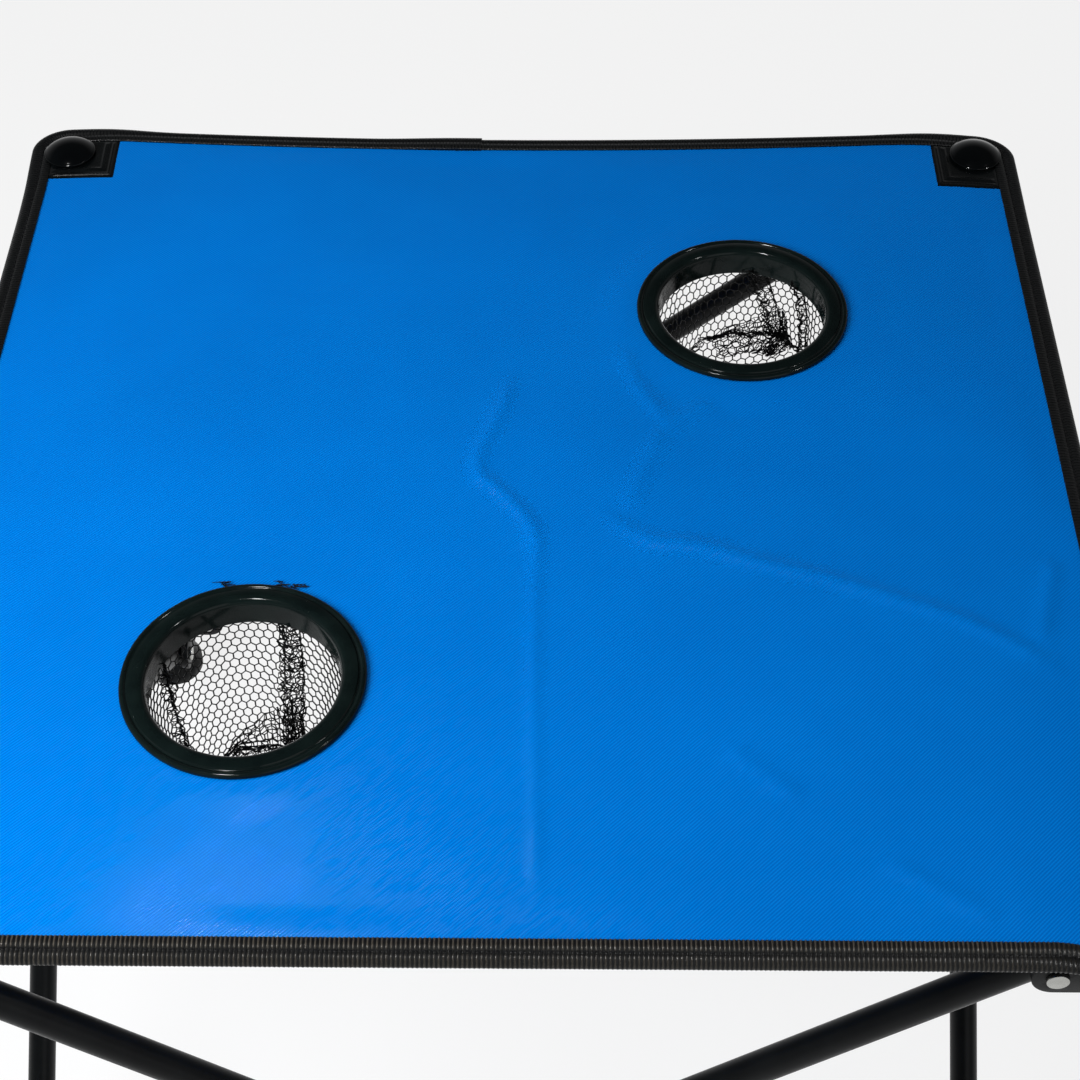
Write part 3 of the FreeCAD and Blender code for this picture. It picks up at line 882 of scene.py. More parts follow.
    def flat_quarter(self, corner: Corner) -> bpy.types.Object:
        """Make a quarter of the sheet, flat, with a round corner and its hole.

        Args:
            corner: the quarter's corner.

        Returns:
            The flat quarter.
        """
        reach = PLAN.half - self.hem
        count = round(reach / self.step)
        bpy.ops.object.select_all(action="DESELECT")
        x, y = corner.signs * reach / 2
        bpy.ops.mesh.primitive_grid_add(x_subdivisions=count, y_subdivisions=count, size=reach,
                                        location=(x, y, PLAN.face))
        piece = named_active(f"corner_cloth_{corner.label}")
        points = places(piece)
        radius = self.corner_radius - self.hem
        local = np.abs(points[:, :2]) - (reach - radius)
        p, q = np.clip(local / radius, 0.0, 1.0).T
        bent = np.stack([p * np.sqrt(1 - q * q / 2), q * np.sqrt(1 - p * p / 2)], axis=1)
        inside = (p > 0) & (q > 0)
        flat = np.where(inside[:, None], reach - radius + radius * bent, np.abs(points[:, :2]))
        points[:, :2] = flat * corner.signs
        put_places(piece, points)
        for axis in CupHolder.axes():
            self.cut_hole(piece, Vector((*axis, PLAN.face)))
        return piece

    def cut_hole(self, piece: bpy.types.Object, axis: Vector) -> None:
        """Cut a round hole where the cup holder's axis meets this quarter."""
        with editing(piece) as mesh:
            for vert in mesh.verts:
                vert.select = (vert.co - axis).length < self.hole
            bpy.ops.mesh.delete(type="VERT")
        points = places(piece)
        away = points[:, :2] - np.array(axis[:2])
        gap = np.linalg.norm(away, axis=1)
        near = gap < self.hole + 0.8 * self.step
        points[near, :2] = np.array(axis[:2]) + away[near] * (self.hole / gap[near])[:, None]
        put_places(piece, points)

    def build(self) -> List[bpy.types.Object]:
        """Make, crease, thicken and dress the four quarters, and give their parts."""
        parts = []
        for corner in Corner:
            piece = self.flat_quarter(corner)
            points = places(piece)
            flat = points.copy()
            points = self.drawn_in(points)
            points[:, 2] += self.relief(flat)
            put_places(piece, points)
            apply_modifier(piece, "SOLIDIFY", thickness=self.thick, offset=-1.0)
            for part in dress_halves(piece, corner, OXFORD, 50.0, (f"cloth_{corner.label}",)):
                parts.append(part)
        return parts


# Edge tape


@dataclass
class EdgeTape:
    """The binding tape folded over the edge of the cloth and sewn along its middle.

    Args:
        cloth: the cloth whose edge it follows.
        pitch: spacing of the tape's ribs.
        samples: sections along one rib.
        groove: outer edge to the sewn groove, in millimetres.
        corner_tilt: how far the outer half turns down at the corners, in degrees.
        stitch_pitch: spacing of the stitches.
        tilts: how far the outer half turns down on each side, in degrees.
        ribs: height of the ribs on each side, where they show more under more tension; it also sets where the
            rib tops get their painted highlight.
        corner_rib: height of the ribs at the corners.
        ease: run of a side over which it eases into its corner.
        joint: where the tape's two ends lap on the rear side, left of its middle.
        lap: how far the upper end stands out there, in millimetres.
        profile: distance from the outer edge and height of the section's points, in millimetres.
        ribbed: how many of those points follow the ribs.
        painted_highlight_rows: share of the painted rib highlight that the groove, the inner half and the
            outer half get.
        stitch: half-length, lift and radius at the points of a stitch, in millimetres.
    """

    cloth: ClothTop
    pitch: float = 1.8 * MM
    samples: int = 4
    groove: float = 6.0
    corner_tilt: float = -3.0
    stitch_pitch: float = 3.4 * MM
    tilts: Dict[str, float] = field(default_factory=lambda: {
        "front": 45.0, "rear": 22.0, "left": 20.0, "right": 10.0})
    ribs: Dict[str, float] = field(default_factory=lambda: {
        "front": 0.3 * MM, "rear": 0.05 * MM, "left": 0.08 * MM, "right": 0.08 * MM})
    corner_rib: float = 0.04 * MM
    ease: float = 60 * MM
    joint: float = 21.7 * MM
    lap: float = 1.2
    profile: Tuple[Point, ...] = (
        (11.4, 0.15), (11.5, 0.75), (11.0, 1.15), (9.0, 1.3), (7.2, 1.2), (6.35, 0.3), (5.65, 0.3),
        (4.8, 1.2), (2.5, 1.35), (0.8, 1.0), (0.1, 0.3), (0.0, -0.5), (0.1, -1.3), (0.8, -2.0), (3.0, -2.3),
        (6.0, -2.1), (9.0, -2.3), (11.3, -2.1), (11.5, -1.3), (11.3, -1.05))
    ribbed: int = 17
    painted_highlight_rows: Tuple[float, float, float] = (0.1, 1.0, 0.5)
    stitch: Tuple[Tuple[float, float, float], ...] = (
        (-1.3, 0.1, 0.05), (-0.9, 0.4, 0.2), (0.0, 0.5, 0.27), (0.9, 0.4, 0.2), (1.3, 0.1, 0.05))

    def route(self, corner: Corner, runs: np.ndarray) -> Tuple[np.ndarray, np.ndarray]:
        """Follow the outer edge of a quarter, from the middle of its front or rear side.

        Args:
            corner: the quarter's corner.
            runs: distances along the edge.

        Returns:
            Places and inward directions.
        """
        radius = self.cloth.corner_radius
        straight = PLAN.half - radius
        turn = np.clip((runs - straight) / radius, 0.0, math.pi / 2)
        inward = np.stack([-np.sin(turn), -np.cos(turn)], axis=1)
        spot = np.stack([np.minimum(runs, straight), np.full(len(runs), straight)], axis=1)
        spot[:, 1] -= np.maximum(runs - straight - math.pi / 2 * radius, 0.0)
        spot = spot - inward * radius
        return spot * corner.signs, inward * corner.signs

    def eased(self, corner: Corner, runs: np.ndarray, sides: Dict[str, float],
              at_corner: float) -> np.ndarray:
        """Ease a value from one side, through the corner, to the other side.

        Args:
            corner: the quarter's corner.
            runs: distances along the edge.
            sides: the value on each side.
            at_corner: the value at the corner.

        Returns:
            The value at each distance.
        """
        straight = PLAN.half - self.cloth.corner_radius
        arc = math.pi / 2 * self.cloth.corner_radius
        row, column = corner.label.split("_")
        near_row = smoothstep(straight + 0.3 * arc, straight - self.ease, runs)
        near_column = smoothstep(straight + 0.7 * arc, straight + arc + self.ease, runs)
        return at_corner + (sides[row] - at_corner) * near_row + (sides[column] - at_corner) * near_column

    def sections(self, corner: Corner, runs: np.ndarray, lap: float = 0.0) -> np.ndarray:
        """Places of the tape's profile at distances along the edge.

        Args:
            corner: the quarter's corner.
            runs: distances along the edge.
            lap: how far the tape stands out over the end below it, in millimetres.

        Returns:
            Places, by distance and by profile point.
        """
        spot, inward = self.route(corner, runs)
        inset, height = np.array(self.profile).T
        ribbed = np.where(np.arange(len(inset)) < self.ribbed, 1.0, 0.0)
        wave = self.eased(corner, runs, self.ribs, self.corner_rib) * np.cos(2 * np.pi * runs / self.pitch)
        over = lap * smoothstep(self.joint + self.ease, self.joint + 12 * MM, runs)[:, None]
        upper = np.where(height > -0.5, 1.0, -1.0)
        tilt = self.eased(corner, runs, self.tilts, self.corner_tilt)
        angle = np.radians(tilt)[:, None] * (inset < self.groove)
        out = self.groove - inset + over * (1 - 1.4 * inset / inset.max())
        up = height + 0.5 + 0.55 * over * upper
        turned_out = out * np.cos(angle) + up * np.sin(angle)
        turned_up = up * np.cos(angle) - out * np.sin(angle)
        depth = (self.groove - turned_out) * MM
        plan = self.cloth.drawn_in(np.repeat(spot, len(inset), axis=0)).reshape(len(runs), len(inset), 2)
        plan = plan + inward[:, None, :] * depth[:, :, None]
        z = PLAN.face + (turned_up - 0.5) * MM + wave[:, None] * ribbed * upper
        return np.concatenate([plan, z[:, :, None]], axis=2)

    def length(self) -> float:
        """Length of a quarter's edge."""
        radius = self.cloth.corner_radius
        return 2 * (PLAN.half - radius) + math.pi / 2 * radius

    def sweep(self, corner: Corner, name: str, start: float, end: float,
              lap: float = 0.0) -> bpy.types.Object:
        """Sweep the profile along part of a quarter's edge.

        Args:
            corner: the quarter's corner.
            name: name of the piece.
            start: where the tape starts, along the edge.
            end: where it ends.
            lap: how far it stands out at its start, in millimetres.

        Returns:
            The tape, with its length and width as its own UV map.
        """
        count = round((end - start) / self.pitch * self.samples)
        runs = np.linspace(start, end, count + 1)
        points = self.sections(corner, runs, lap)
        size = points.shape[1]
        piece = mesh_piece(name, points.reshape(-1, 3), sleeve(0, count, size))
        layer = piece.data.uv_layers.new(name="along_tape")
        corners = np.empty(len(piece.data.loops), int)
        piece.data.loops.foreach_get("vertex_index", corners)
        across = np.array([inset for inset, _ in self.profile]) * MM
        spots = np.stack([runs[corners // size], across[corners % size]], axis=1)
        layer.data.foreach_set("uv", spots.ravel())
        # The rib tops get a painted highlight: full on the inner half, which faces up, half on the outer
        # half, which turns down, and faint in the groove, where shade falls; only the front side gets it,
        # easing off towards the corners.
        painted_rib_highlight = np.clip(self.eased(corner, runs, self.ribs, self.corner_rib) / (0.2 * MM) - 0.5, 0.0, 1.0)
        in_groove, inner, outer = self.painted_highlight_rows
        pale = [in_groove if abs(inset - self.groove) < 1.0 else inner if inset > self.groove else outer
                for inset, _ in self.profile]
        values = piece.data.attributes.new("painted_rib_highlight", "FLOAT", "POINT").data
        values.foreach_set("value", np.outer(painted_rib_highlight, pale).ravel())
        with editing(piece):
            bpy.ops.mesh.select_all(action="SELECT")
            bpy.ops.mesh.normals_make_consistent(inside=False)
        return piece

    def tape(self, corner: Corner) -> bpy.types.Object:
        """Make a quarter's tape, with the lapped joint on the rear left one."""
        name = f"corner_tape_{corner.label}"
        if corner is not Corner.REAR_LEFT:
            return self.sweep(corner, name, 0.0, self.length())
        under = self.sweep(corner, f"{name}_under", 0.0, self.joint + 4 * MM)
        whole = self.sweep(corner, name, self.joint, self.length(), self.lap)
        activate(whole)
        under.select_set(True)
        bpy.ops.object.join()
        return whole

    def stitches(self, corner: Corner) -> bpy.types.Object:
        """Sew a row of lock stitches along the groove."""
        runs = np.arange(self.stitch_pitch / 2, self.length(), self.stitch_pitch)
        spot, inward = self.route(corner, runs)
        plan = self.cloth.drawn_in(spot) + inward * self.groove * MM
        far, lift, radii = np.array(self.stitch).T * MM
        paths = []
        for (x, y), (across, along) in zip(plan, inward):
            paths.append(np.stack([x - along * far, y + across * far, PLAN.face + lift], axis=1))
        return threads(f"corner_stitches_{corner.label}", paths, radii)

    def build(self) -> None:
        """Make and dress the tape and its stitches round the four quarters."""
        for corner in Corner:
            dress_halves(self.tape(corner), corner, TAPE, 60.0, (f"binding_{corner.label}",))
            dress_halves(self.stitches(corner), corner, THREAD, 60.0)


@dataclass
class LooseEnds:
    """Short loose ends of thread: at the rear tape and behind the left cup holder, in millimetres.

    Args:
        corner: the quarter that they lie on.
        spots: middle of each tuft.
        spread: how far a tuft's ends lie from its middle.
        count: ends in a tuft.
        rise: how high they stand.
        taper: radius along an end.
    """

    corner: Corner
    spots: Tuple[Point, ...]
    spread: float
    count: int
    rise: float
    taper: Tuple[float, ...] = (0.1, 0.2, 0.22, 0.22, 0.22, 0.2, 0.1)

    def build(self) -> None:
        """Make and dress the loose ends."""
        draw = np.random.default_rng(len(self.spots) + self.count)
        reach = (self.spread, 0.35 * self.spread, 0.0)
        share = np.linspace(0.0, 1.0, len(self.taper))[:, None]
        paths = []
        for spot in self.spots:
            for _ in range(self.count):
                start, knee, end = draw.normal(0.0, 1.0, (3, 3)) * reach + (*spot, 0.0)
                knee[2] = self.rise * draw.uniform(0.4, 1.6)
                line = (1 - share) ** 2 * start + 2 * share * (1 - share) * knee + share ** 2 * end
                paths.append((line + (0.0, 0.0, 0.5)) * MM + (0.0, 0.0, PLAN.face))
        piece = threads(f"loose_ends_{self.corner.label}", paths, np.array(self.taper) * MM)
        smooth(piece, 60.0)
        dress(piece, THREAD, self.corner.quarter_body)
        gather(piece, self.corner)


# Corner patches and caps


@dataclass
class CornerTrim:
    """A vinyl corner patch with two raised lips, and the domed cap over its screw, in millimetres.

    Args:
        cloth: the cloth that it is sewn to.
        inner: middle of the table to each patch's inner edges, along X and along Y.
        outer: middle of the table to its outer edges, under the tape.
        radius: rounding of its outer corner.
        step: spacing of its grid.
        thick: thickness of the vinyl.
        tuck: its height at the outer edges, and how fast it rises from there.
        section: distance from an inner edge and height of its lips.
        edge_slope: slope of the cap's ball at its edge, in radians.
        lip: radius of the cap's lip.
        rim: height of the cap's rim.
    """

    cloth: ClothTop
    inner: Dict[Corner, Point] = field(default_factory=lambda: {
        Corner.FRONT_LEFT: (223.0, 223.0), Corner.FRONT_RIGHT: (223.0, 223.0),
        Corner.REAR_RIGHT: (219.5, 217.0), Corner.REAR_LEFT: (217.0, 221.0)})
    outer: float = 253.0
    radius: float = 9.0
    step: float = 0.4
    thick: float = 0.4
    tuck: Point = (0.2, 0.2)
    section: Tuple[Point, ...] = (
        (0.0, 0.1), (1.4, 0.45), (2.2, 1.1), (2.8, 1.15), (3.6, 0.8), (4.4, 0.75), (5.2, 1.1), (6.8, 1.2),
        (7.8, 0.8), (9.5, 0.75), (60.0, 0.75))
    edge_slope: float = 0.68
    lip: float = 0.5
    rim: float = 0.6

    def dome(self, radius: float) -> List[Point]:
        """Profile of the cap: part of a ball, a small round lip and a low rim, in millimetres.

        Args:
            radius: radius of the cap.

        Returns:
            Radius and height of the profile's points, from the middle to the foot.
        """
        reach = radius - self.lip
        ball = reach / math.sin(self.edge_slope)
        turns = np.linspace(0.0, self.edge_slope, 16)
        foot = ball * math.cos(self.edge_slope) - self.rim - self.lip
        crown = [(ball * math.sin(a), ball * math.cos(a) - foot) for a in turns]
        turns = (0.9, 1.2, math.pi / 2)
        lip = [(reach + self.lip * math.sin(a), self.rim + self.lip * math.cos(a)) for a in turns]
        return crown + lip + [(radius, self.rim * 0.5), (radius - 0.1, 0.0), (radius - 2.3, 0.0)]

    def lips(self, inset: np.ndarray) -> np.ndarray:
        """Height of the patch at a distance from its inner edges, in millimetres."""
        return np.interp(inset, *np.array(self.section).T)

    def patch(self, corner: Corner) -> bpy.types.Object:
        """Make a corner patch."""
        inner = np.array(self.inner[corner])
        size = self.outer - inner
        count = np.round(size / self.step).astype(int)
        bpy.ops.object.select_all(action="DESELECT")
        bpy.ops.mesh.primitive_grid_add(x_subdivisions=int(count[0]), y_subdivisions=int(count[1]), size=1.0)
        piece = named_active(f"corner_patch_{corner.label}_vinyl")
        points = places(piece)
        spots = inner + (points[:, :2] + 0.5) * size
        inset = (spots - inner).min(axis=1)
        tucked = self.tuck[0] + self.tuck[1] * (self.outer - spots).min(axis=1)
        p, q = np.clip((spots - (self.outer - self.radius)) / self.radius, 0.0, 1.0).T
        bent = np.stack([p * np.sqrt(1 - q * q / 2), q * np.sqrt(1 - p * p / 2)], axis=1)
        inside = (p > 0) & (q > 0)
        spots = np.where(inside[:, None], self.outer - self.radius + self.radius * bent, spots)
        points[:, 2] = PLAN.face + np.minimum(self.lips(inset), tucked) * MM
        points[:, :2] = self.cloth.drawn_in(spots * corner.signs * MM)
        put_places(piece, points)
        with editing(piece) as mesh:
            bpy.ops.mesh.select_all(action="SELECT")
            bpy.ops.mesh.normals_make_consistent(inside=False)
            if sum(face.normal.z for face in mesh.faces) < 0:
                bpy.ops.mesh.flip_normals()
        apply_modifier(piece, "SOLIDIFY", thickness=self.thick * MM, offset=-1.0)
        smooth(piece, 40.0)
        return piece

    def build(self) -> None:
        """Make and dress the four patches and caps."""
        for corner in Corner:
            node = f"corner_patch_{corner.label}"
            dress(self.patch(corner), VINYL, corner.top_body, (node,))
            low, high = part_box(f"corner_cap_{corner.label}")
            foot = Vector(((low.x + high.x) / 2, (low.y + high.y) / 2, low.z))
            profile = self.dome((high.x - low.x) / 2 / MM)
            cap = turned(f"domed_cap_{corner.label}", profile, foot, 96, False)
            smooth(cap, 50.0)
            dress(cap, CAP, corner.top_body, (f"corner_cap_{corner.label}",))


# Cup holders


@dataclass(frozen=True)
class NetSeam:
    """A sewn or crumpled line down a net bag.

    Args:
        mouth: its angle at the mouth, in degrees.
        foot: its angle at the foot.
        width: angle over which the net is crowded beside it.
        cells: crowded cells across that width.
    """

    mouth: float
    foot: float
    width: float
    cells: int

    def turn(self, along: float) -> float:
        """Angle of the line at a share of its way down, in radians."""
        mouth, foot = math.radians(self.mouth), math.radians(self.foot)
        return mouth + (foot - mouth) * along


@dataclass
class CupHolder:
    """A cup holder: a moulded ring through the cloth and a net bag below it.

    Args:
        cup: which cup holder.
        seams: lines down the bag, the sewn one first.
        drop: mouth of the bag to its bottom seam, in millimetres.
        lean: how far the bottom seam is lifted on one side.
        lean_turn: angle of that side, in degrees.
        flange: radius and height of the ring's section, in millimetres.
        columns: cells round the bag.
        row: height of a row of cells.
        sag: how far the bag's bottom hangs.
        thread: thickness of the net's thread.
        mouth: radius of the bag's mouth.
        taper: how much narrower it is at the bottom.
        start: face of the cloth to the mouth.
        floor: radius of the round bottom.
        floor_pitch: width of a cell of the bottom.
        crowd: height of a row of the crowded cells beside the seams.
        folds: height, count, shift and twist of the soft folds round the wall.
    """

    cup: Cup
    seams: Tuple[NetSeam, ...]
    drop: float
    lean: float
    lean_turn: float
    flange: Tuple[Point, ...] = (
        (41.0, -10.6), (41.4, -11.0), (42.6, -11.0), (43.0, -10.6), (43.0, -0.3), (43.2, 0.02), (51.4, 0.02),
        (51.85, 0.3), (52.0, 0.85), (52.0, 1.5), (51.8, 2.15), (51.3, 2.6), (50.6, 2.78), (49.95, 2.72),
        (49.6, 2.4), (49.25, 2.12), (48.85, 2.12), (48.5, 2.4), (48.2, 2.85), (47.4, 3.08), (45.6, 3.3),
        (44.0, 3.38), (43.07, 3.23), (42.24, 2.81), (41.57, 2.14), (41.15, 1.31), (41.0, 0.38))
    columns: int = 64
    row: float = 4.5
    sag: float = 7.0
    thread: float = 0.75
    mouth: float = 43.4
    taper: float = 5.6
    start: float = 5.2
    floor: float = 38.0
    floor_pitch: float = 4.3
    crowd: float = 1.9
    folds: Tuple[Tuple[float, int, float, float], ...] = (
        (1.1, 7, 1.3, 0.0), (0.8, 11, 0.0, 4.0), (0.5, 17, 0.0, 0.0))

    @staticmethod
    def axes() -> List[Point]:
        """Places of the cup holders' axes."""
        found = []
        for cup in Cup:
            low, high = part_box(f"cup_ring_{cup.value[0]}")
            found.append(((low.x + high.x) / 2, (low.y + high.y) / 2))
        return found

    def axis(self) -> Vector:
        """Place of this cup holder's axis on the face of the cloth."""
        low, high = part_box(f"cup_ring_{self.cup.value[0]}")
        return Vector(((low.x + high.x) / 2, (low.y + high.y) / 2, PLAN.face))

    def wall(self, around: np.ndarray, down: np.ndarray) -> np.ndarray:
        """Places on the side wall of the bag.

        Args:
            around: angle about the axis.
            down: share of the way from the mouth to the bottom seam.

        Returns:
            Places from the foot of the ring's axis, in millimetres.
        """
        free = smoothstep(0.1, 0.45, down)
        radius = self.mouth - self.taper * smoothstep(0.05, 1.0, down) ** 1.2
        folds = sum(height * np.sin(count * around + shift + twist * down)
                    for height, count, shift, twist in self.folds)
        radius = radius + free * folds * 0.8
        lift = self.lean * np.cos(around - math.radians(self.lean_turn))
        z = -self.start - (self.drop - lift) * down + free * 1.2 * np.sin(3 * around + 0.6)
        return np.stack([radius * np.cos(around), radius * np.sin(around), z], axis=1)

    def side_net(self) -> Net:
        """Hexagons of the bag's side wall."""
        count = 2 * self.columns
        rows = round(self.drop / self.row)
        row, col = np.meshgrid(np.arange(rows + 1), np.arange(count), indexing="ij")
        zigzag = np.where((row + col) % 2 == 0, 1.0, -1.0) / 6.0
        down = np.clip((row + zigzag) / rows, 0.0, 1.0).ravel()
        around = (2 * np.pi * col / count).ravel()
        faces = []
        for r in range(rows):
            for c in range(r % 2, count, 2):
                across = [(c + k) % count for k in range(3)]
                faces.append(tuple(r * count + k for k in across)
                             + tuple((r + 1) * count + k for k in reversed(across)))
        return self.wall(around, down), faces

    def floor_net(self, first: int) -> Net:
        """Hexagons of the bag's round bottom, which sags."""
        pitch, rows, cols = self.floor_pitch, 24, 40
        rise = pitch * math.sqrt(3.0) / 2
        row, col = np.meshgrid(np.arange(rows), np.arange(cols), indexing="ij")
        zigzag = np.where((row + col) % 2 == 0, 1.0, -1.0) * rise / 6
        x = (col - cols / 2) * pitch / 2
        y = (row - rows / 2) * rise + zigzag
        gap = np.hypot(x, y)
        turn = math.radians(self.lean_turn)
        lift = self.lean * (x * math.cos(turn) + y * math.sin(turn)) / self.floor
        sag = self.sag * (1 - np.clip(gap / self.floor, 0, 1) ** 2)
        z = -self.start - self.drop + lift - sag + 0.8 * np.sin(x / 6.0) * np.sin(y / 7.0)
        inside = gap < self.floor + 0.2
        number = -np.ones(rows * cols, int)
        number[inside.ravel()] = np.arange(inside.sum())
        faces = []
        for r in range(rows - 1):
            for c in range(r % 2, cols - 2, 2):
                ring = [r * cols + c + k for k in range(3)] + [(r + 1) * cols + c + k for k in (2, 1, 0)]
                if all(number[k] >= 0 for k in ring):
                    faces.append(tuple(first + number[k] for k in ring))
        points = np.stack([x, y, z], axis=2).reshape(-1, 3)[inside.ravel()]
        return points, faces

    def on_wall(self, turn: float, down: float, inward: float) -> np.ndarray:
        """Place on the wall, moved towards the axis."""
        spot = self.wall(np.array([turn]), np.array([down]))[0]
        return spot - inward * np.array([math.cos(turn), math.sin(turn), 0.0])

    def beside(self, seam: NetSeam, along: float, across: float) -> np.ndarray:
        """Place on the crowded net beside a seam."""
        turn = seam.turn(along) + math.radians(seam.width) * across
        return self.on_wall(turn, 0.05 + 0.95 * along, 3.5 * math.sin(math.pi * across))

    def sewn_line(self, seam: NetSeam, along: float, across: float) -> np.ndarray:
        """Place on a seam itself."""
        return self.on_wall(seam.turn(along) + 0.012 * across, 0.05 + 0.95 * along, 0.6)

    def round_bottom(self, along: float, across: float) -> np.ndarray:
        """Place on the seam round the bottom."""
        turn = math.radians(self.seams[0].foot) + 2 * math.pi * along
        return self.on_wall(turn, 1.0, 3.5 * across) + np.array([0.0, 0.0, 2.0 * across])

    def bunch(self, along: float, across: float) -> np.ndarray:
        """Place in the bunched net round the foot of the sewn line, closest together at the foot."""
        u, v = (np.sign(s) * abs(s) ** 1.6 for s in (2 * along - 1, 2 * across - 1))
        turn = math.radians(self.seams[0].foot) + 0.1 + u * (1.0 if u > 0 else 0.3)
        if v < 0:
            return self.on_wall(turn, 1.0 + 0.4 * v * (1 - abs(u)), 1.0)
        return self.on_wall(turn, 1.0, 1.0 + 14.0 * v) - np.array([0.0, 0.0, 0.25 * self.sag * v])

    def seam_net(self, first: int) -> Net:
        """Make the loose, crowded cells of the sewn edges: down the wall and round the bottom.

        Args:
            first: number that the first point gets.

        Returns:
            Points and faces of the cells.
        """
        rows = round(self.drop / self.crowd)
        strips = []
        for seam in self.seams:
            strips.append((rows, seam.cells, 0.6, partial(self.beside, seam)))
            strips.append((rows, 1, 0.2, partial(self.sewn_line, seam)))
        strips += [(120, 2, 0.4, self.round_bottom), (34, 16, 0.5, self.bunch)]
        draw = np.random.default_rng(7)
        points, faces = [], []
        for count, width, spread, place in strips:
            start = first + len(points)
            for i in range(count + 1):
                for j in range(width + 1):
                    jitter = draw.normal(0.0, spread * (1 + j / width), 3)
                    points.append(place(i / count, j / width) + jitter)
            for i in range(count):
                for j in range(width):
                    a = start + i * (width + 1) + j
                    faces.append((a, a + 1, a + width + 2, a + width + 1))
        return np.array(points), faces

    def bag(self) -> bpy.types.Object:
        """Make the net bag as threads."""
        side, faces = self.side_net()
        floor, more = self.floor_net(len(side))
        seams, last = self.seam_net(len(side) + len(floor))
        spots = np.vstack([side, floor, seams]) * MM
        name = f"cup_net_{self.cup.value[0]}"
        piece = mesh_piece(name, spots + np.array(self.axis()), faces + more + last)
        apply_modifier(piece, "WIREFRAME", thickness=self.thread * MM, use_even_offset=False,
                       use_replace=True)
        smooth(piece, 60.0)
        return piece

    def build(self) -> None:
        """Make and dress the ring and its bag."""
        label, corner = self.cup.value
        ring = turned(f"cup_ring_{label}_moulded", self.flange, self.axis(), 160, True)
        smooth(ring, 40.0)
        dress(ring, RING, corner.quarter_body, (f"cup_ring_{label}",))
        bag = self.bag()
        dress(bag, NET, corner.quarter_body, (f"net_bag_{label}",))
        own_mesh(bag)


# Folding frame


@dataclass
class FoldingFrame:
    """The frame: crossed tubes on each side, feet, top brackets, rivets and spacers.

    Args:
        tube_radius: outer radius of the tubes.
        tube_wall: thickness of their wall.
        tube_tail: end rivet to the end of the tube.
        rim: width of the eased rims of a tube.
        rim_drop: height of those rims.
        bore: depth of the open bores.
        sides: faces round a tube.
    """

    tube_radius: float = 7.0 * MM
    tube_wall: float = 1.0 * MM
    tube_tail: float = 9.0 * MM
    rim: float = 0.25 * MM
    rim_drop: float = 0.22 * MM
    bore: float = 40 * MM
    sides: int = 48

    @staticmethod
    def pivot(name: str) -> Vector:
        """Place of a joint."""
        return Vector(next(j["pos_m"] for j in frame["joints"] if j["name"] == name))

    def tube(self, name: str, low: Vector, high: Vector) -> bpy.types.Object:
        """Make a tube between its end rivets.

        Args:
            name: name of the piece.
            low: lower rivet's place.
            high: upper rivet's place.

        Returns:
            The tube, with open bores and eased rims.
        """
        run = high - low
        length = run.length + 2 * self.tube_tail
        bpy.ops.object.select_all(action="DESELECT")
        bpy.ops.mesh.primitive_cylinder_add(vertices=self.sides, radius=self.tube_radius, depth=length)
        piece = named_active(name)
        with editing(piece) as mesh:
            bpy.ops.mesh.select_mode(type="FACE")
            for face in mesh.faces:
                face.select = abs(face.normal.z) > 0.9
            bpy.ops.mesh.inset(thickness=self.rim, depth=self.rim_drop)
            bpy.ops.mesh.inset(thickness=self.tube_wall - 2 * self.rim)
            bpy.ops.mesh.inset(thickness=self.rim, depth=-self.rim_drop)
            bpy.ops.mesh.extrude_faces_move(TRANSFORM_OT_shrink_fatten={"value": -self.bore})
        turn = run.to_track_quat("Z", "X").to_matrix().to_4x4()
        piece.data.transform(Matrix.Translation((low + high) / 2) @ turn)
        smooth(piece, 40.0)
        return piece

    def eased(self, node: str, width: float) -> bpy.types.Object:
        """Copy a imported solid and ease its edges.

        Args:
            node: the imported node.
            width: width of the eased edges.

        Returns:
            The eased copy.
        """
        mesh = frame["nodes"][node].data.copy()
        piece = bpy.data.objects.new(f"{node}_eased", mesh)
        bpy.context.scene.collection.objects.link(piece)
        with editing(piece):
            bpy.ops.mesh.select_all(action="SELECT")
            bpy.ops.mesh.remove_doubles(threshold=2e-6)
            bpy.ops.mesh.dissolve_limited(angle_limit=math.radians(1.0))
        if width:
            apply_modifier(piece, "BEVEL", width=width, segments=2, limit_method="ANGLE",
                           angle_limit=math.radians(50), use_clamp_overlap=True)
        smooth(piece, 40.0)
        return piece

    def build(self) -> None:
        """Make and dress the tubes, feet, brackets and rivets."""
        front = {
            "inner": (self.pivot("fold"), self.pivot("front_right_top_turn")),
            "outer": (self.pivot("front_right_foot_turn"), self.pivot("front_left_top_turn")),
        }
        for side in Side:
            label, turns = side.value
            turn = Matrix.Rotation(turns * math.pi / 2, 4, "Z")
            for lane, (low, high) in front.items():
                node = f"tube_{label}_{lane}"
                tube = self.tube(f"{node}_coated", turn @ low, turn @ high)
                dress(tube, POWDER, f"{label}_{lane}_tube", (node,))
            for kind, finish, width in (("cross_rivet", ZINC, 0.25 * MM), ("cross_spacer", NYLON, 0.2 * MM)):
                node = f"{kind}_{label}"
                dress(self.eased(node, width), finish, f"{label}_outer_tube", (node,))
        for corner in Corner:
            label = corner.label
            for kind, finish, body, width in (
                    ("foot", NYLON, f"{label}_foot", 0.5 * MM),
                    ("foot_rivets", ZINC, f"{label}_foot", 0.25 * MM),
                    ("top_bracket", NYLON, corner.top_body, 0.5 * MM),
                    ("top_rivets", ZINC, corner.top_body, 0.25 * MM),
                    ("corner_screw", ZINC, corner.top_body, 0.0)):
                node = f"{kind}_{label}"
                dress(self.eased(node, width), finish, body, (node,))
        for cup in Cup:
            label, corner = cup.value
            node = f"clamp_ring_{label}"
            dress(self.eased(node, 0.4 * MM), RING, corner.quarter_body, (node,))


# Studio


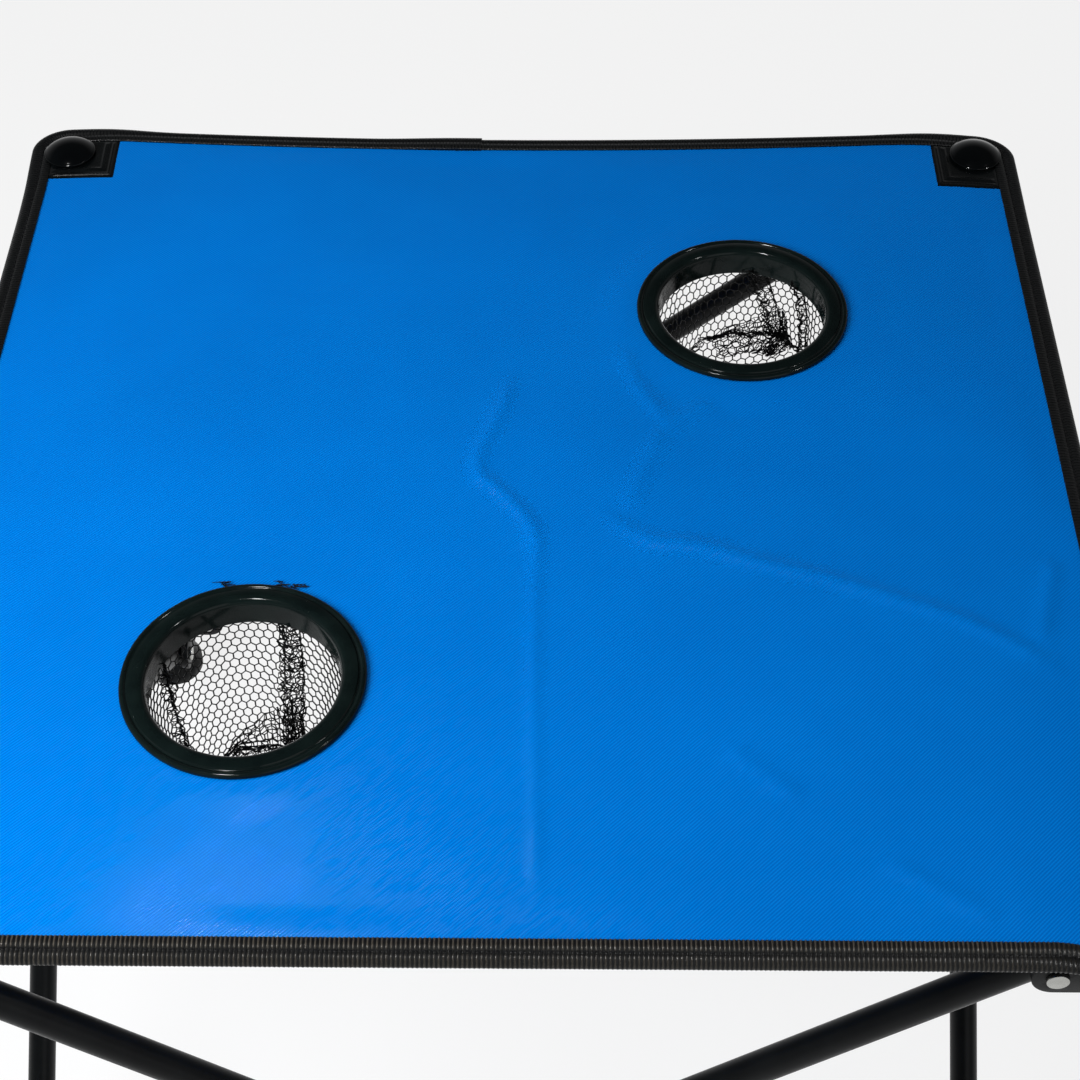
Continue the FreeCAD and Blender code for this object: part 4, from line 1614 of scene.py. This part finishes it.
@dataclass
class Studio:
    """Pale floor, soft lamps and the camera.

    Args:
        eye: place of the camera.
        pitch: how far it looks down, in degrees.
        yaw: how far it is turned to the left.
        roll: how far it is tilted.
        lens: focal length, in millimetres.
        glow: strength of the surroundings at the horizon and overhead.
        floor_share: how much of the floor's own glow the camera and mirrors see.
    """

    eye: Tuple[float, float, float] = (21.6 * MM, -673.0 * MM, 1120.0 * MM)
    pitch: float = 47.344
    yaw: float = 0.8056
    roll: float = -0.3071
    lens: float = 70.223
    glow: Point = (0.55, 0.06)
    floor_share: float = 0.8

    def camera(self) -> None:
        """Set the camera at the photograph's viewing angle."""
        pitch, yaw, roll = (math.radians(a) for a in (self.pitch, self.yaw, self.roll))
        right = Vector((math.cos(yaw), math.sin(yaw), 0.0))
        ahead = Vector((-math.sin(yaw) * math.cos(pitch), math.cos(yaw) * math.cos(pitch), -math.sin(pitch)))
        up = right.cross(ahead)
        level = math.cos(roll) * right + math.sin(roll) * up
        tall = math.cos(roll) * up - math.sin(roll) * right
        data = bpy.data.cameras.new("camera")
        data.lens, data.sensor_width, data.clip_start, data.clip_end = self.lens, 36.0, 0.05, 50.0
        camera = bpy.data.objects.new("camera", data)
        facing = Matrix((level, tall, -ahead)).transposed().to_4x4()
        camera.matrix_world = Matrix.Translation(self.eye) @ facing
        bpy.context.scene.collection.objects.link(camera)
        bpy.context.scene.camera = camera

    @staticmethod
    def lamp(name: str, place: Sequence[float], aim: Sequence[float], size: float, power: float,
             matt: bool = True, mirrored: bool = True, only: Sequence[bpy.types.Object] = ()) -> None:
        """Hang a square soft lamp.

        Args:
            name: name of the lamp.
            place: where it hangs.
            aim: the point that it faces.
            size: its width.
            power: its power in watts.
            matt: whether it lights matt surfaces.
            mirrored: whether glossy surfaces mirror it.
            only: the pieces that it lights, where it doesn't light all of them.
        """
        data = bpy.data.lights.new(name, "AREA")
        data.shape, data.size, data.energy = "SQUARE", size, power
        lamp = bpy.data.objects.new(name, data)
        lamp.location = place
        lamp.visible_diffuse, lamp.visible_glossy = matt, mirrored
        if only:
            lamp.light_linking.receiver_collection = bpy.data.collections.new(name)
            for piece in only:
                lamp.light_linking.receiver_collection.objects.link(piece)
        lamp.rotation_euler = (Vector(aim) - Vector(place)).to_track_quat("-Z", "Y").to_euler()
        bpy.context.scene.collection.objects.link(lamp)

    def surroundings(self) -> None:
        """Make the world and the floor."""
        world = bpy.data.worlds.new("studio")
        bpy.context.scene.world = world
        world.use_nodes = True
        nodes = world.node_tree
        ahead = add_node(nodes, "TexCoord").outputs["Generated"]
        upward = add_node(nodes, "SeparateXYZ", {0: ahead}).outputs["Z"]
        glow = add_node(nodes, "MapRange", {"Value": upward, "From Min": 0.0, "From Max": 0.6,
                                            "To Min": self.glow[0], "To Max": self.glow[1]})
        background = nodes.nodes["Background"]
        background.inputs["Color"].default_value = linear("#F2F4F5")
        nodes.links.new(glow.outputs[0], background.inputs["Strength"])
        bpy.ops.object.select_all(action="DESELECT")
        bpy.ops.mesh.primitive_plane_add(size=14.0)
        floor = named_active("floor")
        material = bpy.data.materials.new("pale_floor")
        material.use_nodes = True
        tree = material.node_tree
        tree.nodes.clear()
        path = add_node(tree, "LightPath").outputs
        seen = path["Is Camera Ray"]
        for ray in ("Is Glossy Ray", "Is Transmission Ray"):
            seen = add_node(tree, "Math", {0: seen, 1: path[ray]}, operation="MAXIMUM").outputs[0]
        share = add_node(tree, "Math", {0: seen, 1: self.floor_share}, operation="MULTIPLY")
        matt = add_node(tree, "BsdfDiffuse", {"Color": linear("#E4E6E7")})
        pale = add_node(tree, "Emission", {"Color": linear("#FFFFFF"), "Strength": 1.05})
        both = add_node(tree, "MixShader", {0: share.outputs[0], 1: matt.outputs[0], 2: pale.outputs[0]})
        add_node(tree, "OutputMaterial", {"Surface": both.outputs[0]})
        floor.data.materials.append(material)

    def build(self, cloth: Sequence[bpy.types.Object]) -> None:
        """Set up the camera, the surroundings and the lamps, one of them for the weave of the cloth."""
        self.camera()
        self.surroundings()
        middle = (0.0, 0.0, PLAN.face)
        self.lamp("key", (-0.58, -0.45, 1.0), middle, 0.6, 14.2, mirrored=False)
        self.lamp("weave", (-0.08, 0.49, 2.43), middle, 0.16, 10.0, only=cloth)
        self.lamp("ceiling_left", (-0.5, -0.65, 2.43), middle, 0.2, 24.0, matt=False)
        self.lamp("ceiling_right", (1.76, -0.5, 2.43), middle, 0.2, 12.0, matt=False)
        self.lamp("front_fill", (1.1, -1.8, 1.4), middle, 1.4, 5.0)
        bpy.context.scene.view_settings.view_transform = "Standard"


def main() -> None:
    """Build the studio and the table."""
    logging.basicConfig(level=logging.INFO, format="%(message)s")
    cloth = ClothTop()
    Studio().build(cloth.build())
    EdgeTape(cloth).build()
    CornerTrim(cloth).build()
    LooseEnds(Corner.REAR_LEFT, ((-38.6, 248.5), (-68.0, 248.5)), 2.6, 7, 0.6).build()
    LooseEnds(Corner.FRONT_LEFT, ((-124.0, -65.6), (-100.0, -65.4), (-92.0, -66.4)), 3.2, 6, 1.6).build()
    left_seams = (NetSeam(63.0, 67.0, 13.0, 7), NetSeam(153.0, 151.0, 4.0, 2))
    right_seams = (NetSeam(72.0, 46.0, 13.0, 7), NetSeam(42.0, 14.0, 8.0, 3))
    CupHolder(Cup.LEFT, left_seams, 90.0, 0.0, 0.0).build()
    CupHolder(Cup.RIGHT, right_seams, 47.0, 10.0, 25.0).build()
    FoldingFrame().build()


if __name__ == "__main__":
    main()
